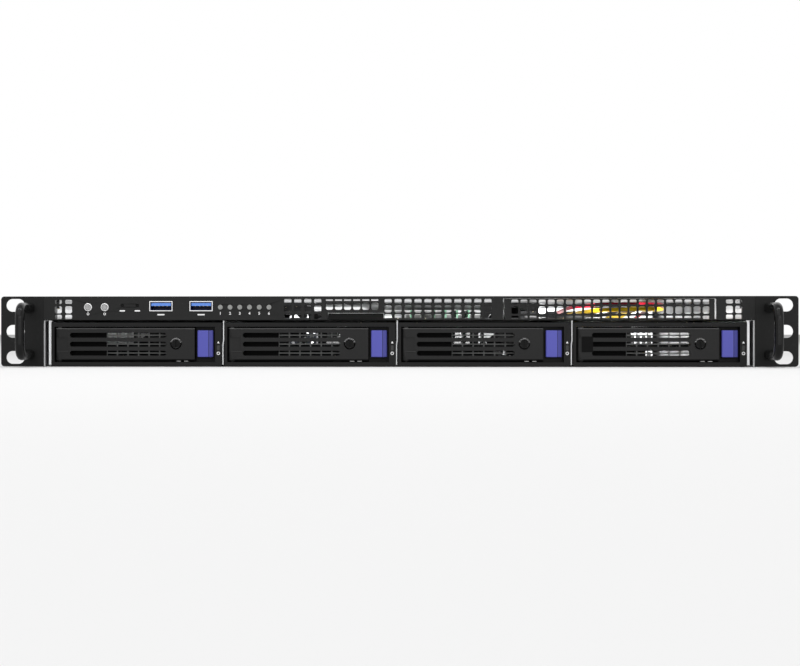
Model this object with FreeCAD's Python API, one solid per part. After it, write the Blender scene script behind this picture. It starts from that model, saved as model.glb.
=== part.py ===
"""Rack server, one unit high: folded steel chassis, four drive trays, fans, main board, power supply."""
import FreeCAD
import Part
import math
import os

V = FreeCAD.Vector
X_AXIS = V(1, 0, 0)
Y_AXIS = V(0, 1, 0)
Z_AXIS = V(0, 0, 1)

# X is to the right, Y is back from the rack rail's face, Z is up from the chassis underside.
# write() moves each finished node down by half the height, to the centre of the rack slots.

# Whole server
RACK_WIDTH = 482.6
HEIGHT = 42.6
BODY_WIDTH = 430.8
DEPTH = 650.0
SHEET = 1.0
RUN_GAP = 0.3
SHAFT_GAP = 0.05

# Rack ears and handles
EAR_SHEET = 2.0
EAR_FLANGE = 58.0
EAR_CORNER = 2.0
SLOT_LENGTH = 11.5
SLOT_HEIGHT = 7.8
SLOT_SPACING_X = 465.1
SLOT_PITCH_Z = 15.875
HANDLE_X = 223.2
HANDLE_HEIGHT = 34.4
HANDLE_REACH = 36.0
HANDLE_WIDTH = 5.4
HANDLE_BAR = 6.2
HANDLE_BEND = 9.5
HANDLE_BEND_INSIDE = 4.8
HANDLE_EDGE = 1.5

# Front panel, a strip above the drive bays
PANEL_BOTTOM = 28.1
PANEL_SHEET = 1.2
ROOF_DEPTH = 40.0
MESH_CUT = 0.7

# Drive bays
BAYS = 4
BAY_PITCH = 105.6
CAGE_DEPTH = 172.0
CAGE_SHEET = 0.8
CAGE_ROOF_BOTTOM = 28.0
CAGE_SIDE = 1.6
CAGE_SIDE_CLEAR = 0.4
CAGE_TAB = 1.2
CAGE_TAB_DEPTH = 1.0
DIVIDER_JOG = 0.4
DIVIDER_STEP = 2.0
ROOF_WINDOW_X = 60.0
ROOF_WINDOW_Y = 50.0
ROOF_WINDOW_SHARE = 0.55
TRAY_WIDTH = 104.0
TRAY_SIDE = 1.0
TRAY_FLOOR = 0.6
TRAY_SIDE_HEIGHT = 14.0
TRAY_END = 160.0
BEZEL_DEPTH = 12.0
BEZEL_LOW = 0.2
BEZEL_TOP = 26.6
BEZEL_TOP_BAR = 2.5
BEZEL_BOTTOM_BAR = 1.4
BEZEL_LEFT_WALL = 1.8
BEZEL_RIGHT_COLUMN = 4.0
FRONT_Y = -EAR_SHEET

# Tray lever, lock and release
LEVER_THICK = 5.0
LEVER_BOTTOM_GAP = 1.1
LEVER_TOP_GAP = 0.8
LEVER_LENGTH = 85.2
LEVER_START = 2.3
LEVER_PIN_R = 1.2
LEVER_PIN_SEAT = 0.6
LEVER_PIN_END_GAP = 0.2
LOCK_FROM_START = 73.9
LOCK_R = 2.6
LOCK_RING_R = 3.55
LOCK_RING_PROUD = 0.3
LEVER_EDGE = 0.8
LEVER_WALL = 1.6
VENT_START = 9.0
VENT_LENGTH = 59.0
VENT_HEIGHT = 3.0
VENT_PITCH = 5.45
VENT_CUT = 0.9
LABEL_FROM_LEFT = 0.9
LABEL_DROP = 0.7
LABEL_WIDTH = 6.6
LABEL_HEIGHT = 9.0
LABEL_DEEP = 0.5
RELEASE_WIDTH = 9.6
RELEASE_HEIGHT = 16.2
RELEASE_TRAVEL = 2.0
RELEASE_DEPTH = 4.0
RELEASE_SIDE_GAP = 1.3
RELEASE_Z = 13.8
RELEASE_BEHIND_LEVER = 1.7
STEM_WIDTH = 4.0
STEM_HEIGHT = 8.0

# Front controls
CONTROL_Z = 36.0
BUTTON_R = 2.45
BUTTON_XS = (-188.0, -177.8)
PINHOLE_R = 1.0
PINHOLE_XS = (-167.0, -157.8)
PINHOLE_Z = 37.0
USB_XS = (-143.4, -118.9)
USB_WIDTH = 14.2
USB_HEIGHT = 6.2
USB_Z = 36.6
USB_WALL = 0.5
USB_DEPTH = 14.0
USB_PROUD = 0.4
LED_R = 1.5
LED_START_X = -107.2
LED_PITCH = 5.92
LEDS = 6
BOARD_T = 1.6
TAG_LEFT = -41.8
TAG_RIGHT = -7.8
TAG_LOW = PANEL_BOTTOM + RUN_GAP
TAG_LIP_HEIGHT = 4.0
TAG_CARD_INSET = 1.0
TAG_LENGTH = 60.0
TAG_CARD = 1.4

# Fans
FAN_SIZE = 40.0
FAN_DEPTH = 28.0
FAN_Y = 215.0
FAN_XS = (-171.0, -129.0, -87.0, 80.0)
FAN_BORE_R = 18.8
HUB_R = 9.5
SHAFT_R = 1.5
BLADES = 5

# Main board and power supply
STANDOFF = 6.5
MAIN_LEFT = -205.0
MAIN_RIGHT = 100.0
MAIN_DEPTH = 243.0
PSU_WIDTH = 100.0
PSU_DEPTH = 219.0
PSU_HEIGHT = 40.0
PSU_RIGHT = 210.0
WIRE_D = 2.4

# Worked out from the above
WALL_OUT = BODY_WIDTH / 2
WALL_IN = WALL_OUT - SHEET
COVER_Z = HEIGHT - SHEET
WALL_TOP = COVER_Z - RUN_GAP
PANEL_BACK = FRONT_Y + PANEL_SHEET
BAY_LEFT = -BAYS * BAY_PITCH / 2
CAGE_ROOF_TOP = CAGE_ROOF_BOTTOM + CAGE_SHEET
REAR_IN = DEPTH - SHEET
MAIN_Z = SHEET + STANDOFF
MAIN_TOP = MAIN_Z + BOARD_T
MAIN_BACK = REAR_IN - RUN_GAP
MAIN_FRONT = MAIN_BACK - MAIN_DEPTH
SLOT_X = SLOT_SPACING_X / 2
SLOT_ZS = (HEIGHT / 2 - SLOT_PITCH_Z, HEIGHT / 2, HEIGHT / 2 + SLOT_PITCH_Z)


def box(x0, x1, y0, y1, z0, z1):
    """Block between two corners."""
    return Part.makeBox(x1 - x0, y1 - y0, z1 - z0, V(x0, y0, z0))


def rod(x, y, z, radius, length, axis):
    """Cylinder that starts at a point and runs along an axis."""
    return Part.makeCylinder(radius, length, V(x, y, z), axis)


def prism(points, sweep):
    """Straight-sided outline, closed and swept."""
    return Part.Face(Part.makePolygon(points + points[:1])).extrude(sweep)


def hex_rod(start, radius, sweep):
    """Six-sided rod that starts at a point, straight up or straight back."""
    across = sweep.cross(X_AXIS).normalize()
    turns = [math.radians(60 * k) for k in range(6)]
    corners = [start + X_AXIS * (radius * math.cos(t)) + across * (radius * math.sin(t)) for t in turns]
    return prism(corners, sweep)


def clipped_hole(x0, x1, z0, z1, cut, depth):
    """Hole through the front with clipped corners."""
    outline = [(x0 + cut, z0), (x1 - cut, z0), (x1, z0 + cut), (x1, z1 - cut),
               (x1 - cut, z1), (x0 + cut, z1), (x0, z1 - cut), (x0, z0 + cut)]
    return prism([V(px, FRONT_Y - 1, pz) for px, pz in outline], V(0, depth + 2, 0))


def joined(shapes):
    """One solid out of pieces that touch or overlap."""
    return shapes[0].multiFuse(shapes[1:]).removeSplitter()


def without(shape, tools):
    """A solid less all of its cuts."""
    return shape.cut(Part.makeCompound(tools))


def mirrored(shape):
    """The same piece on the other side of the server."""
    return shape.mirror(V(0, 0, 0), X_AXIS)


def write(name, shapes):
    """Write one node, its origin at the centre of the rack slots."""
    node = Part.makeCompound(shapes) if len(shapes) > 1 else shapes[0]
    node = node.copy()
    node.translate(V(0, 0, -HEIGHT / 2))
    node.exportStep("parts/" + name + ".step")
    print(name, len(node.Solids), "solids, volume", round(node.Volume, 1))


# ---- Chassis sheet metal --------------------------------------------------------------------------

RAIL_HOLE_R = 2.1
RAIL_HOLE_YS = (120.0, 320.0, 520.0)
STANDOFF_R = 3.0
STANDOFF_INSET = 8.0
STANDOFF_REAR_INSET = 30.0
STANDOFF_MIDDLE_X = -97.5


def standoff_places():
    """Screw points of the main board, three across and three deep."""
    across = (MAIN_LEFT + STANDOFF_INSET, STANDOFF_MIDDLE_X, MAIN_RIGHT - STANDOFF_INSET)
    first = MAIN_FRONT + STANDOFF_INSET
    last = MAIN_BACK - STANDOFF_REAR_INSET
    return [(x, y) for x in across for y in (first, (first + last) / 2, last)]


def board_standoffs():
    """Six-sided standoffs pressed on to the floor, one under each screw point of the main board."""
    return [hex_rod(V(x, y, SHEET), STANDOFF_R, V(0, 0, STANDOFF)) for x, y in standoff_places()]


def chassis_base():
    """Floor and both side walls folded from one sheet."""
    floor = box(-WALL_OUT, WALL_OUT, FRONT_Y + BEZEL_DEPTH + RUN_GAP, DEPTH, 0, SHEET)
    left = box(-WALL_OUT, -WALL_IN, PANEL_BACK, DEPTH, 0, WALL_TOP)
    right = mirrored(left)
    lowered = box(-WALL_OUT, WALL_OUT, PANEL_BACK, ROOF_DEPTH, PANEL_BOTTOM, HEIGHT)
    shell = joined([floor, left, right])
    holes = [rod(-WALL_OUT - 1, y, HEIGHT / 2, RAIL_HOLE_R, BODY_WIDTH + 2, X_AXIS) for y in RAIL_HOLE_YS]
    holes.append(lowered)
    return without(shell, holes)


COVER_LIP = 6.0
COVER_BEAD_WIDTH = 8.0
COVER_BEAD_DEEP = 0.5
COVER_BEADS = 3
COVER_BEAD_INSET = 30.0


def top_cover():
    """Lid behind the front roof: a flat sheet, lips inside the side walls and pressed beads."""
    front = ROOF_DEPTH + RUN_GAP
    sheet = box(-WALL_OUT, WALL_OUT, front, DEPTH, COVER_Z, HEIGHT)
    lip_out = WALL_IN - RUN_GAP
    lip = box(-lip_out, -lip_out + SHEET, front, REAR_IN - RUN_GAP, COVER_Z - COVER_LIP, COVER_Z)
    cover = joined([sheet, lip, mirrored(lip)])
    room = (DEPTH - front) / (COVER_BEADS + 1)
    beads = []
    for i in range(COVER_BEADS):
        y = front + room * (i + 1)
        half = WALL_IN - COVER_BEAD_INSET
        bead = box(-half, half, y, y + COVER_BEAD_WIDTH, HEIGHT - COVER_BEAD_DEEP, HEIGHT)
        beads.append(bead)
    return without(cover, beads)


# Heights of the punched rows, lowest and highest edge of each
LOWEST_HOLE = PANEL_BOTTOM + 0.6
WIDE_ROWS = ((LOWEST_HOLE, 31.8), (32.8, 37.1), (38.1, 41.1))
FINE_ROWS = ((LOWEST_HOLE, 30.7), (31.9, 36.4), (37.6, 40.5))
SIDE_ROWS = ((LOWEST_HOLE, 31.4), (32.3, 36.7), (38.1, 40.5))
TAG_ROWS = ((34.4, 38.7), (39.8, 40.8))

# Punched fields: left side of the first hole, columns, pitch, hole width, rows
LEFT_FIELD = (-208.4, 2, 6.25, 4.35, SIDE_ROWS)
BOARD_FIELD = (-68.3, 4, 6.05, 4.35, WIDE_ROWS)
TAG_FIELD = (-43.0, 6, 5.5, 4.3, TAG_ROWS)
MIDDLE_FIELD = (-7.4, 11, 6.03, 4.25, WIDE_ROWS)
RIGHT_FIELD = (198.0, 2, 5.5, 4.25, SIDE_ROWS)
INSERT_FIELD = (69.2, 22, 5.47, 4.2, FINE_ROWS)


def mesh_field(first_x, columns, pitch, width, rows):
    """Columns of square punched holes with clipped corners, through the front sheet."""
    holes = []
    for i in range(columns):
        x = first_x + i * pitch
        for z0, z1 in rows:
            cut = min(MESH_CUT, (z1 - z0) / 5)
            holes.append(clipped_hole(x, x + width, z0, z1, cut, PANEL_SHEET))
    return holes


INSERT_LEFT = 65.2
INSERT_RIGHT = 191.2
INSERT_GAP = 1.0
INSERT_TOP = 41.3
BUTTON_HOLE_GAP = 0.15


def control_holes():
    """Openings in the left part of the strip for buttons, pins, sockets and lamps."""
    y = FRONT_Y - 1
    through = PANEL_SHEET + 2
    holes = [rod(x, y, CONTROL_Z, BUTTON_R + BUTTON_HOLE_GAP, through, Y_AXIS) for x in BUTTON_XS]
    holes += [rod(x, y, PINHOLE_Z, PINHOLE_R, through, Y_AXIS) for x in PINHOLE_XS]
    for x in USB_XS:
        half = USB_WIDTH / 2
        low = USB_Z - USB_HEIGHT / 2
        holes.append(box(x - half, x + half, y, y + through, low, low + USB_HEIGHT))
    for i in range(LEDS):
        holes.append(rod(LED_START_X + i * LED_PITCH, y, CONTROL_Z, LED_R, through, Y_AXIS))
    return holes


def tag_slot():
    """Slot in the strip that the pull-out tag runs in."""
    return box(TAG_LEFT, TAG_RIGHT, FRONT_Y - 1, PANEL_BACK + 1, TAG_LOW, TAG_LOW + TAG_LIP_HEIGHT)


def front_panel():
    """Black strip above the bays with its punched fields and the window of the vent insert."""
    face = box(-WALL_OUT, WALL_OUT, FRONT_Y, PANEL_BACK, PANEL_BOTTOM, HEIGHT)
    window = box(INSERT_LEFT - INSERT_GAP, INSERT_RIGHT + INSERT_GAP, FRONT_Y - 1, PANEL_BACK + 1,
                 PANEL_BOTTOM - 1, INSERT_TOP)
    cuts = [window, tag_slot()]
    cuts += control_holes()
    for field in (LEFT_FIELD, BOARD_FIELD, TAG_FIELD, MIDDLE_FIELD, RIGHT_FIELD):
        cuts += mesh_field(*field)
    return without(face, cuts)


def front_roof():
    """Fixed roof behind the strip, with sides that carry it on the side walls."""
    roof = box(-WALL_OUT, WALL_OUT, PANEL_BACK, ROOF_DEPTH, COVER_Z, HEIGHT)
    side = box(-WALL_OUT, -WALL_IN, PANEL_BACK, ROOF_DEPTH, PANEL_BOTTOM, COVER_Z)
    return joined([roof, side, mirrored(side)])


INSERT_TAB = 12.0


def vent_insert():
    """Separate punched plate beside the blank field, its two side tabs standing on the cage roof."""
    top = INSERT_TOP - RUN_GAP
    plate = box(INSERT_LEFT, INSERT_RIGHT, FRONT_Y, PANEL_BACK, PANEL_BOTTOM, top)
    left = box(INSERT_LEFT, INSERT_LEFT + PANEL_SHEET, PANEL_BACK, INSERT_TAB, CAGE_ROOF_TOP, top)
    right = box(INSERT_RIGHT - PANEL_SHEET, INSERT_RIGHT, PANEL_BACK, INSERT_TAB, CAGE_ROOF_TOP, top)
    return without(joined([plate, left, right]), mesh_field(*INSERT_FIELD))


IO_LEFT = -158.0
IO_WIDTH = 158.8
IO_HEIGHT = 31.0
IO_BOTTOM = 5.0
SLOT_COVER_LEFT = 6.0
SLOT_COVER_WIDTH = 96.0
SLOT_COVER_BOTTOM = 21.0
SLOT_COVER_HEIGHT = 16.0
SLOT_COVER_LAP = 2.0
PSU_EDGE = 1.5
REAR_VENT_R = 2.4
REAR_VENT_PITCH = 5.6
REAR_VENT_COLUMNS = 7
REAR_VENT_ROWS = 6
REAR_VENT_EDGE = 10.0
REAR_VENT_LOW = 8.0


def rear_panel():
    """Back wall with openings for the ports, one card slot and the power supply, and a vent field."""
    wall = box(-WALL_IN, WALL_IN, REAR_IN, DEPTH, SHEET, WALL_TOP)
    y = REAR_IN - 1
    end = DEPTH + 1
    psu_left = PSU_RIGHT - PSU_WIDTH
    cuts = [box(IO_LEFT, IO_LEFT + IO_WIDTH, y, end, IO_BOTTOM, IO_BOTTOM + IO_HEIGHT)]
    lap = SLOT_COVER_LAP
    cuts.append(box(SLOT_COVER_LEFT + lap, SLOT_COVER_LEFT + SLOT_COVER_WIDTH - lap, y, end,
                    SLOT_COVER_BOTTOM + lap, SLOT_COVER_BOTTOM + SLOT_COVER_HEIGHT - lap))
    cuts.append(box(psu_left + PSU_EDGE, PSU_RIGHT - PSU_EDGE, y, end,
                    SHEET + PSU_EDGE, SHEET + PSU_HEIGHT - PSU_EDGE))
    for column in range(REAR_VENT_COLUMNS):
        for row in range(REAR_VENT_ROWS):
            x = -WALL_IN + REAR_VENT_EDGE + (column + row % 2 / 2) * REAR_VENT_PITCH
            z = REAR_VENT_LOW + row * REAR_VENT_PITCH * math.sqrt(0.75)
            cuts.append(hex_rod(V(x, y, z), REAR_VENT_R, V(0, SHEET + 2, 0)))
    return without(wall, cuts)


def ear():
    """Right rack ear: slotted face plate with a flange back along the side wall."""
    out = RACK_WIDTH / 2
    plate = box(WALL_OUT, out, FRONT_Y, 0, 0, HEIGHT)
    edges = [e for e in plate.Edges if is_corner(e, out)]
    plate = plate.makeFillet(min(EAR_CORNER, (out - WALL_OUT) * 0.45), edges)
    flange = box(WALL_OUT, WALL_OUT + EAR_SHEET, FRONT_Y, EAR_FLANGE, 0, HEIGHT)
    slots = [slot(SLOT_X, z) for z in SLOT_ZS]
    return without(joined([plate, flange]), slots)


def is_corner(edge, x):
    """Edge that runs through the sheet at the outer side of an ear."""
    a, b = edge.Vertexes[0].Point, edge.Vertexes[-1].Point
    return abs(a.x - x) < 0.01 and abs(b.x - x) < 0.01 and abs(a.z - b.z) < 0.01


def slot(x, z):
    """Round-ended rack slot through an ear."""
    r = SLOT_HEIGHT / 2
    half = SLOT_LENGTH / 2 - r
    y = FRONT_Y - 1
    through = EAR_SHEET + 2
    middle = box(x - half, x + half, y, y + through, z - r, z + r)
    ends = [rod(x - half, y, z, r, through, Y_AXIS), rod(x + half, y, z, r, through, Y_AXIS)]
    return joined([middle] + ends)


def handle():
    """Right pull handle: one bar with broken edges, bent back at both ends into the ear."""
    low = (HEIGHT - HANDLE_HEIGHT) / 2
    high = low + HANDLE_HEIGHT
    x = HANDLE_X - HANDLE_WIDTH / 2
    front = FRONT_Y - HANDLE_REACH
    outer = rounded_u(x, front, low, high, HANDLE_BEND)
    inner = rounded_u(x - 1, front + HANDLE_BAR, low + HANDLE_BAR, high - HANDLE_BAR, HANDLE_BEND_INSIDE)
    bar = outer.extrude(V(HANDLE_WIDTH, 0, 0)).cut(inner.extrude(V(HANDLE_WIDTH + 2, 0, 0)))
    sides = [e for e in bar.Edges if abs(e.BoundBox.XLength) < 0.01 and e.BoundBox.YMin < FRONT_Y - 0.1]
    return bar.makeChamfer(HANDLE_EDGE, sides)


def rounded_u(x, front, low, high, bend):
    """Flat outline open to the ear, with two round corners at its front."""
    back = FRONT_Y
    h = bend * math.sqrt(0.5)
    turn = front + bend
    top_arc = Part.Arc(V(x, turn, high), V(x, turn - h, high - bend + h), V(x, front, high - bend))
    low_arc = Part.Arc(V(x, front, low + bend), V(x, turn - h, low + bend - h), V(x, turn, low))
    edges = [Part.makeLine(V(x, back, high), V(x, turn, high)), top_arc.toShape(),
             Part.makeLine(V(x, front, high - bend), V(x, front, low + bend)), low_arc.toShape(),
             Part.makeLine(V(x, turn, low), V(x, back, low)),
             Part.makeLine(V(x, back, low), V(x, back, high))]
    return Part.Face(Part.Wire(edges))


# ---- Drive cage, backplane and trays --------------------------------------------------------------


def bay_left(bay):
    """Left boundary of a bay, counted from 0 at the left."""
    return BAY_LEFT + bay * BAY_PITCH


def divider(x):
    """Wall between two bays with a small sideways step half-way up."""
    half = CAGE_SHEET / 2
    j = DIVIDER_JOG / 2
    z0, z1 = SHEET, CAGE_ROOF_BOTTOM
    step = (z0 + z1) / 2
    run = DIVIDER_STEP / 2
    left = [(x - half - j, z0), (x - half - j, step - run), (x - half + j, step + run), (x - half + j, z1)]
    right = [(x + half + j, z1), (x + half + j, step + run), (x + half - j, step - run), (x + half - j, z0)]
    return prism([V(px, 0, pz) for px, pz in left + right], V(0, CAGE_DEPTH, 0))


def cage_inside():
    """Inner face of the cage's right wall."""
    return -tray_left(0) + CAGE_SIDE_CLEAR


def drive_cage():
    """Roof of the bays, a flat sheet with an air window over each bay."""
    side = cage_inside() + CAGE_SIDE
    roof = box(-side, side, 0, CAGE_DEPTH, CAGE_ROOF_BOTTOM, CAGE_ROOF_TOP)
    middle = CAGE_DEPTH * ROOF_WINDOW_SHARE
    windows = []
    for bay in range(BAYS):
        x = bay_left(bay) + BAY_PITCH / 2
        windows.append(box(x - ROOF_WINDOW_X / 2, x + ROOF_WINDOW_X / 2, middle - ROOF_WINDOW_Y / 2,
                           middle + ROOF_WINDOW_Y / 2, CAGE_ROOF_BOTTOM - 1, CAGE_ROOF_TOP + 1))
    return without(roof, windows)


def cage_walls():
    """Five upright walls under the roof: two outer ones with a folded front corner, three dividers."""
    side = cage_inside()
    wall = box(-side - CAGE_SIDE, -side, 0, CAGE_DEPTH, SHEET, CAGE_ROOF_BOTTOM)
    low = CAGE_ROOF_BOTTOM - CAGE_TAB
    outline = [(-side - CAGE_SIDE, low), (-side, low), (-side + CAGE_TAB / 2, low + CAGE_TAB / 2),
               (-side + CAGE_TAB / 2, CAGE_ROOF_BOTTOM), (-side - CAGE_SIDE, CAGE_ROOF_BOTTOM)]
    corner = prism([V(px, 0, pz) for px, pz in outline], V(0, CAGE_TAB_DEPTH, 0))
    outer = joined([wall, corner])
    return [outer, mirrored(outer)] + [divider(bay_left(i)) for i in range(1, BAYS)]


BACKPLANE_ABOVE = 2.0
# Air windows behind a bay: left and right from the bay's left boundary, lower and upper edge
BACKPLANE_WINDOWS = ((8.0, 50.0, 13.0, 25.0), (56.0, 98.0, 13.0, 25.0), (66.0, 98.0, 4.0, 10.0))
SOCKET_WIDTH = 44.0
SOCKET_HEIGHT = 5.0
SOCKET_DEEP = 7.0
SOCKET_Z = 5.0
SOCKET_FROM_LEFT = 16.0
SOCKET_WALL = 2.0
TONGUE_T = 1.0


def backplane():
    """Circuit board across the back of the cage, with air windows behind each bay."""
    y = CAGE_DEPTH
    board = box(BAY_LEFT, -BAY_LEFT, y, y + BOARD_T, SHEET + RUN_GAP, CAGE_ROOF_TOP + BACKPLANE_ABOVE)
    windows = []
    for bay in range(BAYS):
        for x0, x1, z0, z1 in BACKPLANE_WINDOWS:
            x = bay_left(bay)
            windows.append(box(x + x0, x + x1, y - 1, y + BOARD_T + 1, z0, z1))
    return without(board, windows)


def drive_sockets():
    """Connector of each bay: long tongue housing with a shallow mouth."""
    sockets = []
    front = CAGE_DEPTH - SOCKET_DEEP
    deep = front + SOCKET_DEEP - SOCKET_WALL
    wall = SOCKET_WALL
    for bay in range(BAYS):
        x = bay_left(bay) + SOCKET_FROM_LEFT
        end = x + SOCKET_WIDTH
        body = box(x, end, front, CAGE_DEPTH, SOCKET_Z, SOCKET_Z + SOCKET_HEIGHT)
        middle = SOCKET_Z + SOCKET_HEIGHT / 2
        half = (SOCKET_HEIGHT - wall) / 2
        mouth = box(x + wall, end - wall, front - 1, deep, middle - half, middle + half)
        half = TONGUE_T / 2
        tongue = box(x + 2 * wall, end - 2 * wall, front + 1, deep, middle - half, middle + half)
        sockets.append(joined([body.cut(mouth), tongue]))
    return sockets


def tray_left(bay):
    """Left side of the tray in a bay."""
    return bay_left(bay) + (BAY_PITCH - TRAY_WIDTH) / 2


DRIVE_SCREW_R = 1.8
DRIVE_SCREW_Z = 8.2
DRIVE_SCREW_YS = (38.0, 139.6)
TRAY_WINDOW = 36.0
TRAY_WINDOW_XS = (16.0, 56.0)
TRAY_WINDOW_YS = (34.0, 96.0)
TRAY_FLOOR_Z = SHEET + 0.2


def tray(bay):
    """Steel tray open at the top and the back: floor, two sides and drive screw holes."""
    x = tray_left(bay)
    y = FRONT_Y + BEZEL_DEPTH
    floor = box(x, x + TRAY_WIDTH, y, TRAY_END, TRAY_FLOOR_Z, TRAY_FLOOR_Z + TRAY_FLOOR)
    left = box(x, x + TRAY_SIDE, y, TRAY_END, TRAY_FLOOR_Z, TRAY_FLOOR_Z + TRAY_SIDE_HEIGHT)
    right = box(x + TRAY_WIDTH - TRAY_SIDE, x + TRAY_WIDTH, y, TRAY_END,
                TRAY_FLOOR_Z, TRAY_FLOOR_Z + TRAY_SIDE_HEIGHT)
    body = joined([floor, left, right])
    cuts = [rod(x - 1, hole_y, DRIVE_SCREW_Z, DRIVE_SCREW_R, TRAY_WIDTH + 2, X_AXIS)
            for hole_y in DRIVE_SCREW_YS]
    for left_x in TRAY_WINDOW_XS:
        for front_y in TRAY_WINDOW_YS:
            cuts.append(box(x + left_x, x + left_x + TRAY_WINDOW, front_y, front_y + TRAY_WINDOW,
                            TRAY_FLOOR_Z - 1, TRAY_FLOOR_Z + TRAY_FLOOR + 1))
    return without(body, cuts)


def lever_left(bay):
    """Left end of a lever."""
    return tray_left(bay) + LEVER_START


def lever_span():
    """Lowest and highest edge of a lever."""
    low = TRAY_FLOOR_Z + BEZEL_BOTTOM_BAR + LEVER_BOTTOM_GAP
    high = BEZEL_TOP - BEZEL_TOP_BAR - LEVER_TOP_GAP
    return low, high


def pin_place(bay):
    """Centre line of a lever's hinge pin, in plan."""
    end_r = LEVER_THICK / 2
    return lever_left(bay) + end_r, FRONT_Y + end_r


def bezel(bay):
    """Moulded front of a tray: four bars, a wall for the release and bores for the lever's pin."""
    x = tray_left(bay)
    back = FRONT_Y + BEZEL_DEPTH
    block = box(x, x + TRAY_WIDTH, FRONT_Y, back, BEZEL_LOW, BEZEL_TOP)
    low = TRAY_FLOOR_Z + BEZEL_BOTTOM_BAR
    high = BEZEL_TOP - BEZEL_TOP_BAR
    release = release_left(bay)
    window = box(x + BEZEL_LEFT_WALL, release - RELEASE_SIDE_GAP, FRONT_Y - 1, back + 1, low, high)
    right = x + TRAY_WIDTH - BEZEL_RIGHT_COLUMN
    pocket_back = FRONT_Y + RELEASE_DEPTH + RELEASE_TRAVEL + RUN_GAP
    pocket = box(release - RELEASE_SIDE_GAP - 1, right, FRONT_Y - 1, pocket_back, low, high)
    hole = box(release + RELEASE_WIDTH / 2 - STEM_WIDTH / 2 - RUN_GAP,
               release + RELEASE_WIDTH / 2 + STEM_WIDTH / 2 + RUN_GAP, FRONT_Y, back + 1,
               RELEASE_Z - STEM_HEIGHT / 2 - RUN_GAP, RELEASE_Z + STEM_HEIGHT / 2 + RUN_GAP)
    pin_x, pin_y = pin_place(bay)
    bore_r = LEVER_PIN_R + SHAFT_GAP
    bore_deep = LEVER_PIN_SEAT + LEVER_PIN_END_GAP
    bores = [rod(pin_x, pin_y, high, bore_r, bore_deep, Z_AXIS),
             rod(pin_x, pin_y, low, bore_r, bore_deep, -Z_AXIS)]
    return without(block, [window, pocket, hole] + bores)


def release_left(bay):
    """Left side of a release button."""
    return lever_left(bay) + LEVER_LENGTH + RELEASE_BEHIND_LEVER


def lever(bay):
    """Swing-out lever: slotted plate, round at its pin, with a lock boss and a label recess."""
    x = lever_left(bay)
    pin_x, pin_y = pin_place(bay)
    low, high = lever_span()
    back = FRONT_Y + LEVER_THICK
    plate = box(pin_x, x + LEVER_LENGTH, FRONT_Y, back, low, high)
    edges = [e for e in plate.Edges if e.BoundBox.XLength > 50 and e.BoundBox.YMax < FRONT_Y + 0.01]
    plate = plate.makeChamfer(LEVER_EDGE, edges)
    end = rod(pin_x, pin_y, low, LEVER_THICK / 2, high - low, Z_AXIS)
    pin_low = low - LEVER_BOTTOM_GAP - LEVER_PIN_SEAT
    pin_high = high + LEVER_TOP_GAP + LEVER_PIN_SEAT
    pin = rod(pin_x, pin_y, pin_low, LEVER_PIN_R, pin_high - pin_low, Z_AXIS)
    lock_x = x + LOCK_FROM_START
    ring = rod(lock_x, FRONT_Y - LOCK_RING_PROUD, RELEASE_Z, LOCK_RING_R, LOCK_RING_PROUD + 1, Y_AXIS)
    cuts = [rod(lock_x, FRONT_Y - 1, RELEASE_Z, LOCK_R + SHAFT_GAP, LEVER_THICK + 2, Y_AXIS)]
    vent_x = x + VENT_START
    for row in (-1, 0, 1):
        z = (low + high) / 2 + row * VENT_PITCH
        cuts.append(clipped_hole(vent_x, vent_x + VENT_LENGTH, z - VENT_HEIGHT / 2, z + VENT_HEIGHT / 2,
                                 VENT_CUT, LEVER_THICK))
    label_low = RELEASE_Z - LABEL_HEIGHT / 2 - LABEL_DROP
    cuts.append(box(x + LABEL_FROM_LEFT, x + LABEL_FROM_LEFT + LABEL_WIDTH, FRONT_Y - 1,
                    FRONT_Y + LABEL_DEEP, label_low, label_low + LABEL_HEIGHT))
    wall = LEVER_WALL
    hollow = box(lock_x + LOCK_R + wall, x + LEVER_LENGTH - wall, FRONT_Y + wall, back + 1,
                 low + wall, high - wall)
    return without(joined([plate, end, pin, ring]), cuts + [hollow])


LOCK_SLOT = 0.9
LOCK_PROUD = 0.1
LOCK_SLOT_DEEP = 0.8
LOCK_SLOT_SHARE = 0.75


def lock(bay):
    """Quarter-turn lock barrel with a driver slot."""
    x = lever_left(bay) + LOCK_FROM_START
    front = FRONT_Y - LOCK_PROUD
    barrel = rod(x, front, RELEASE_Z, LOCK_R, LEVER_THICK, Y_AXIS)
    reach = LOCK_R * LOCK_SLOT_SHARE
    slot_cut = box(x - LOCK_SLOT / 2, x + LOCK_SLOT / 2, front - 1, front + LOCK_SLOT_DEEP,
                   RELEASE_Z - reach, RELEASE_Z + reach)
    return barrel.cut(slot_cut)


RELEASE_PROUD = 0.5
RELEASE_CREASE = 0.72
RELEASE_SLOPE = 0.8
RELEASE_EDGE = 0.5
STEM_END_GAP = 1.0


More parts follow.
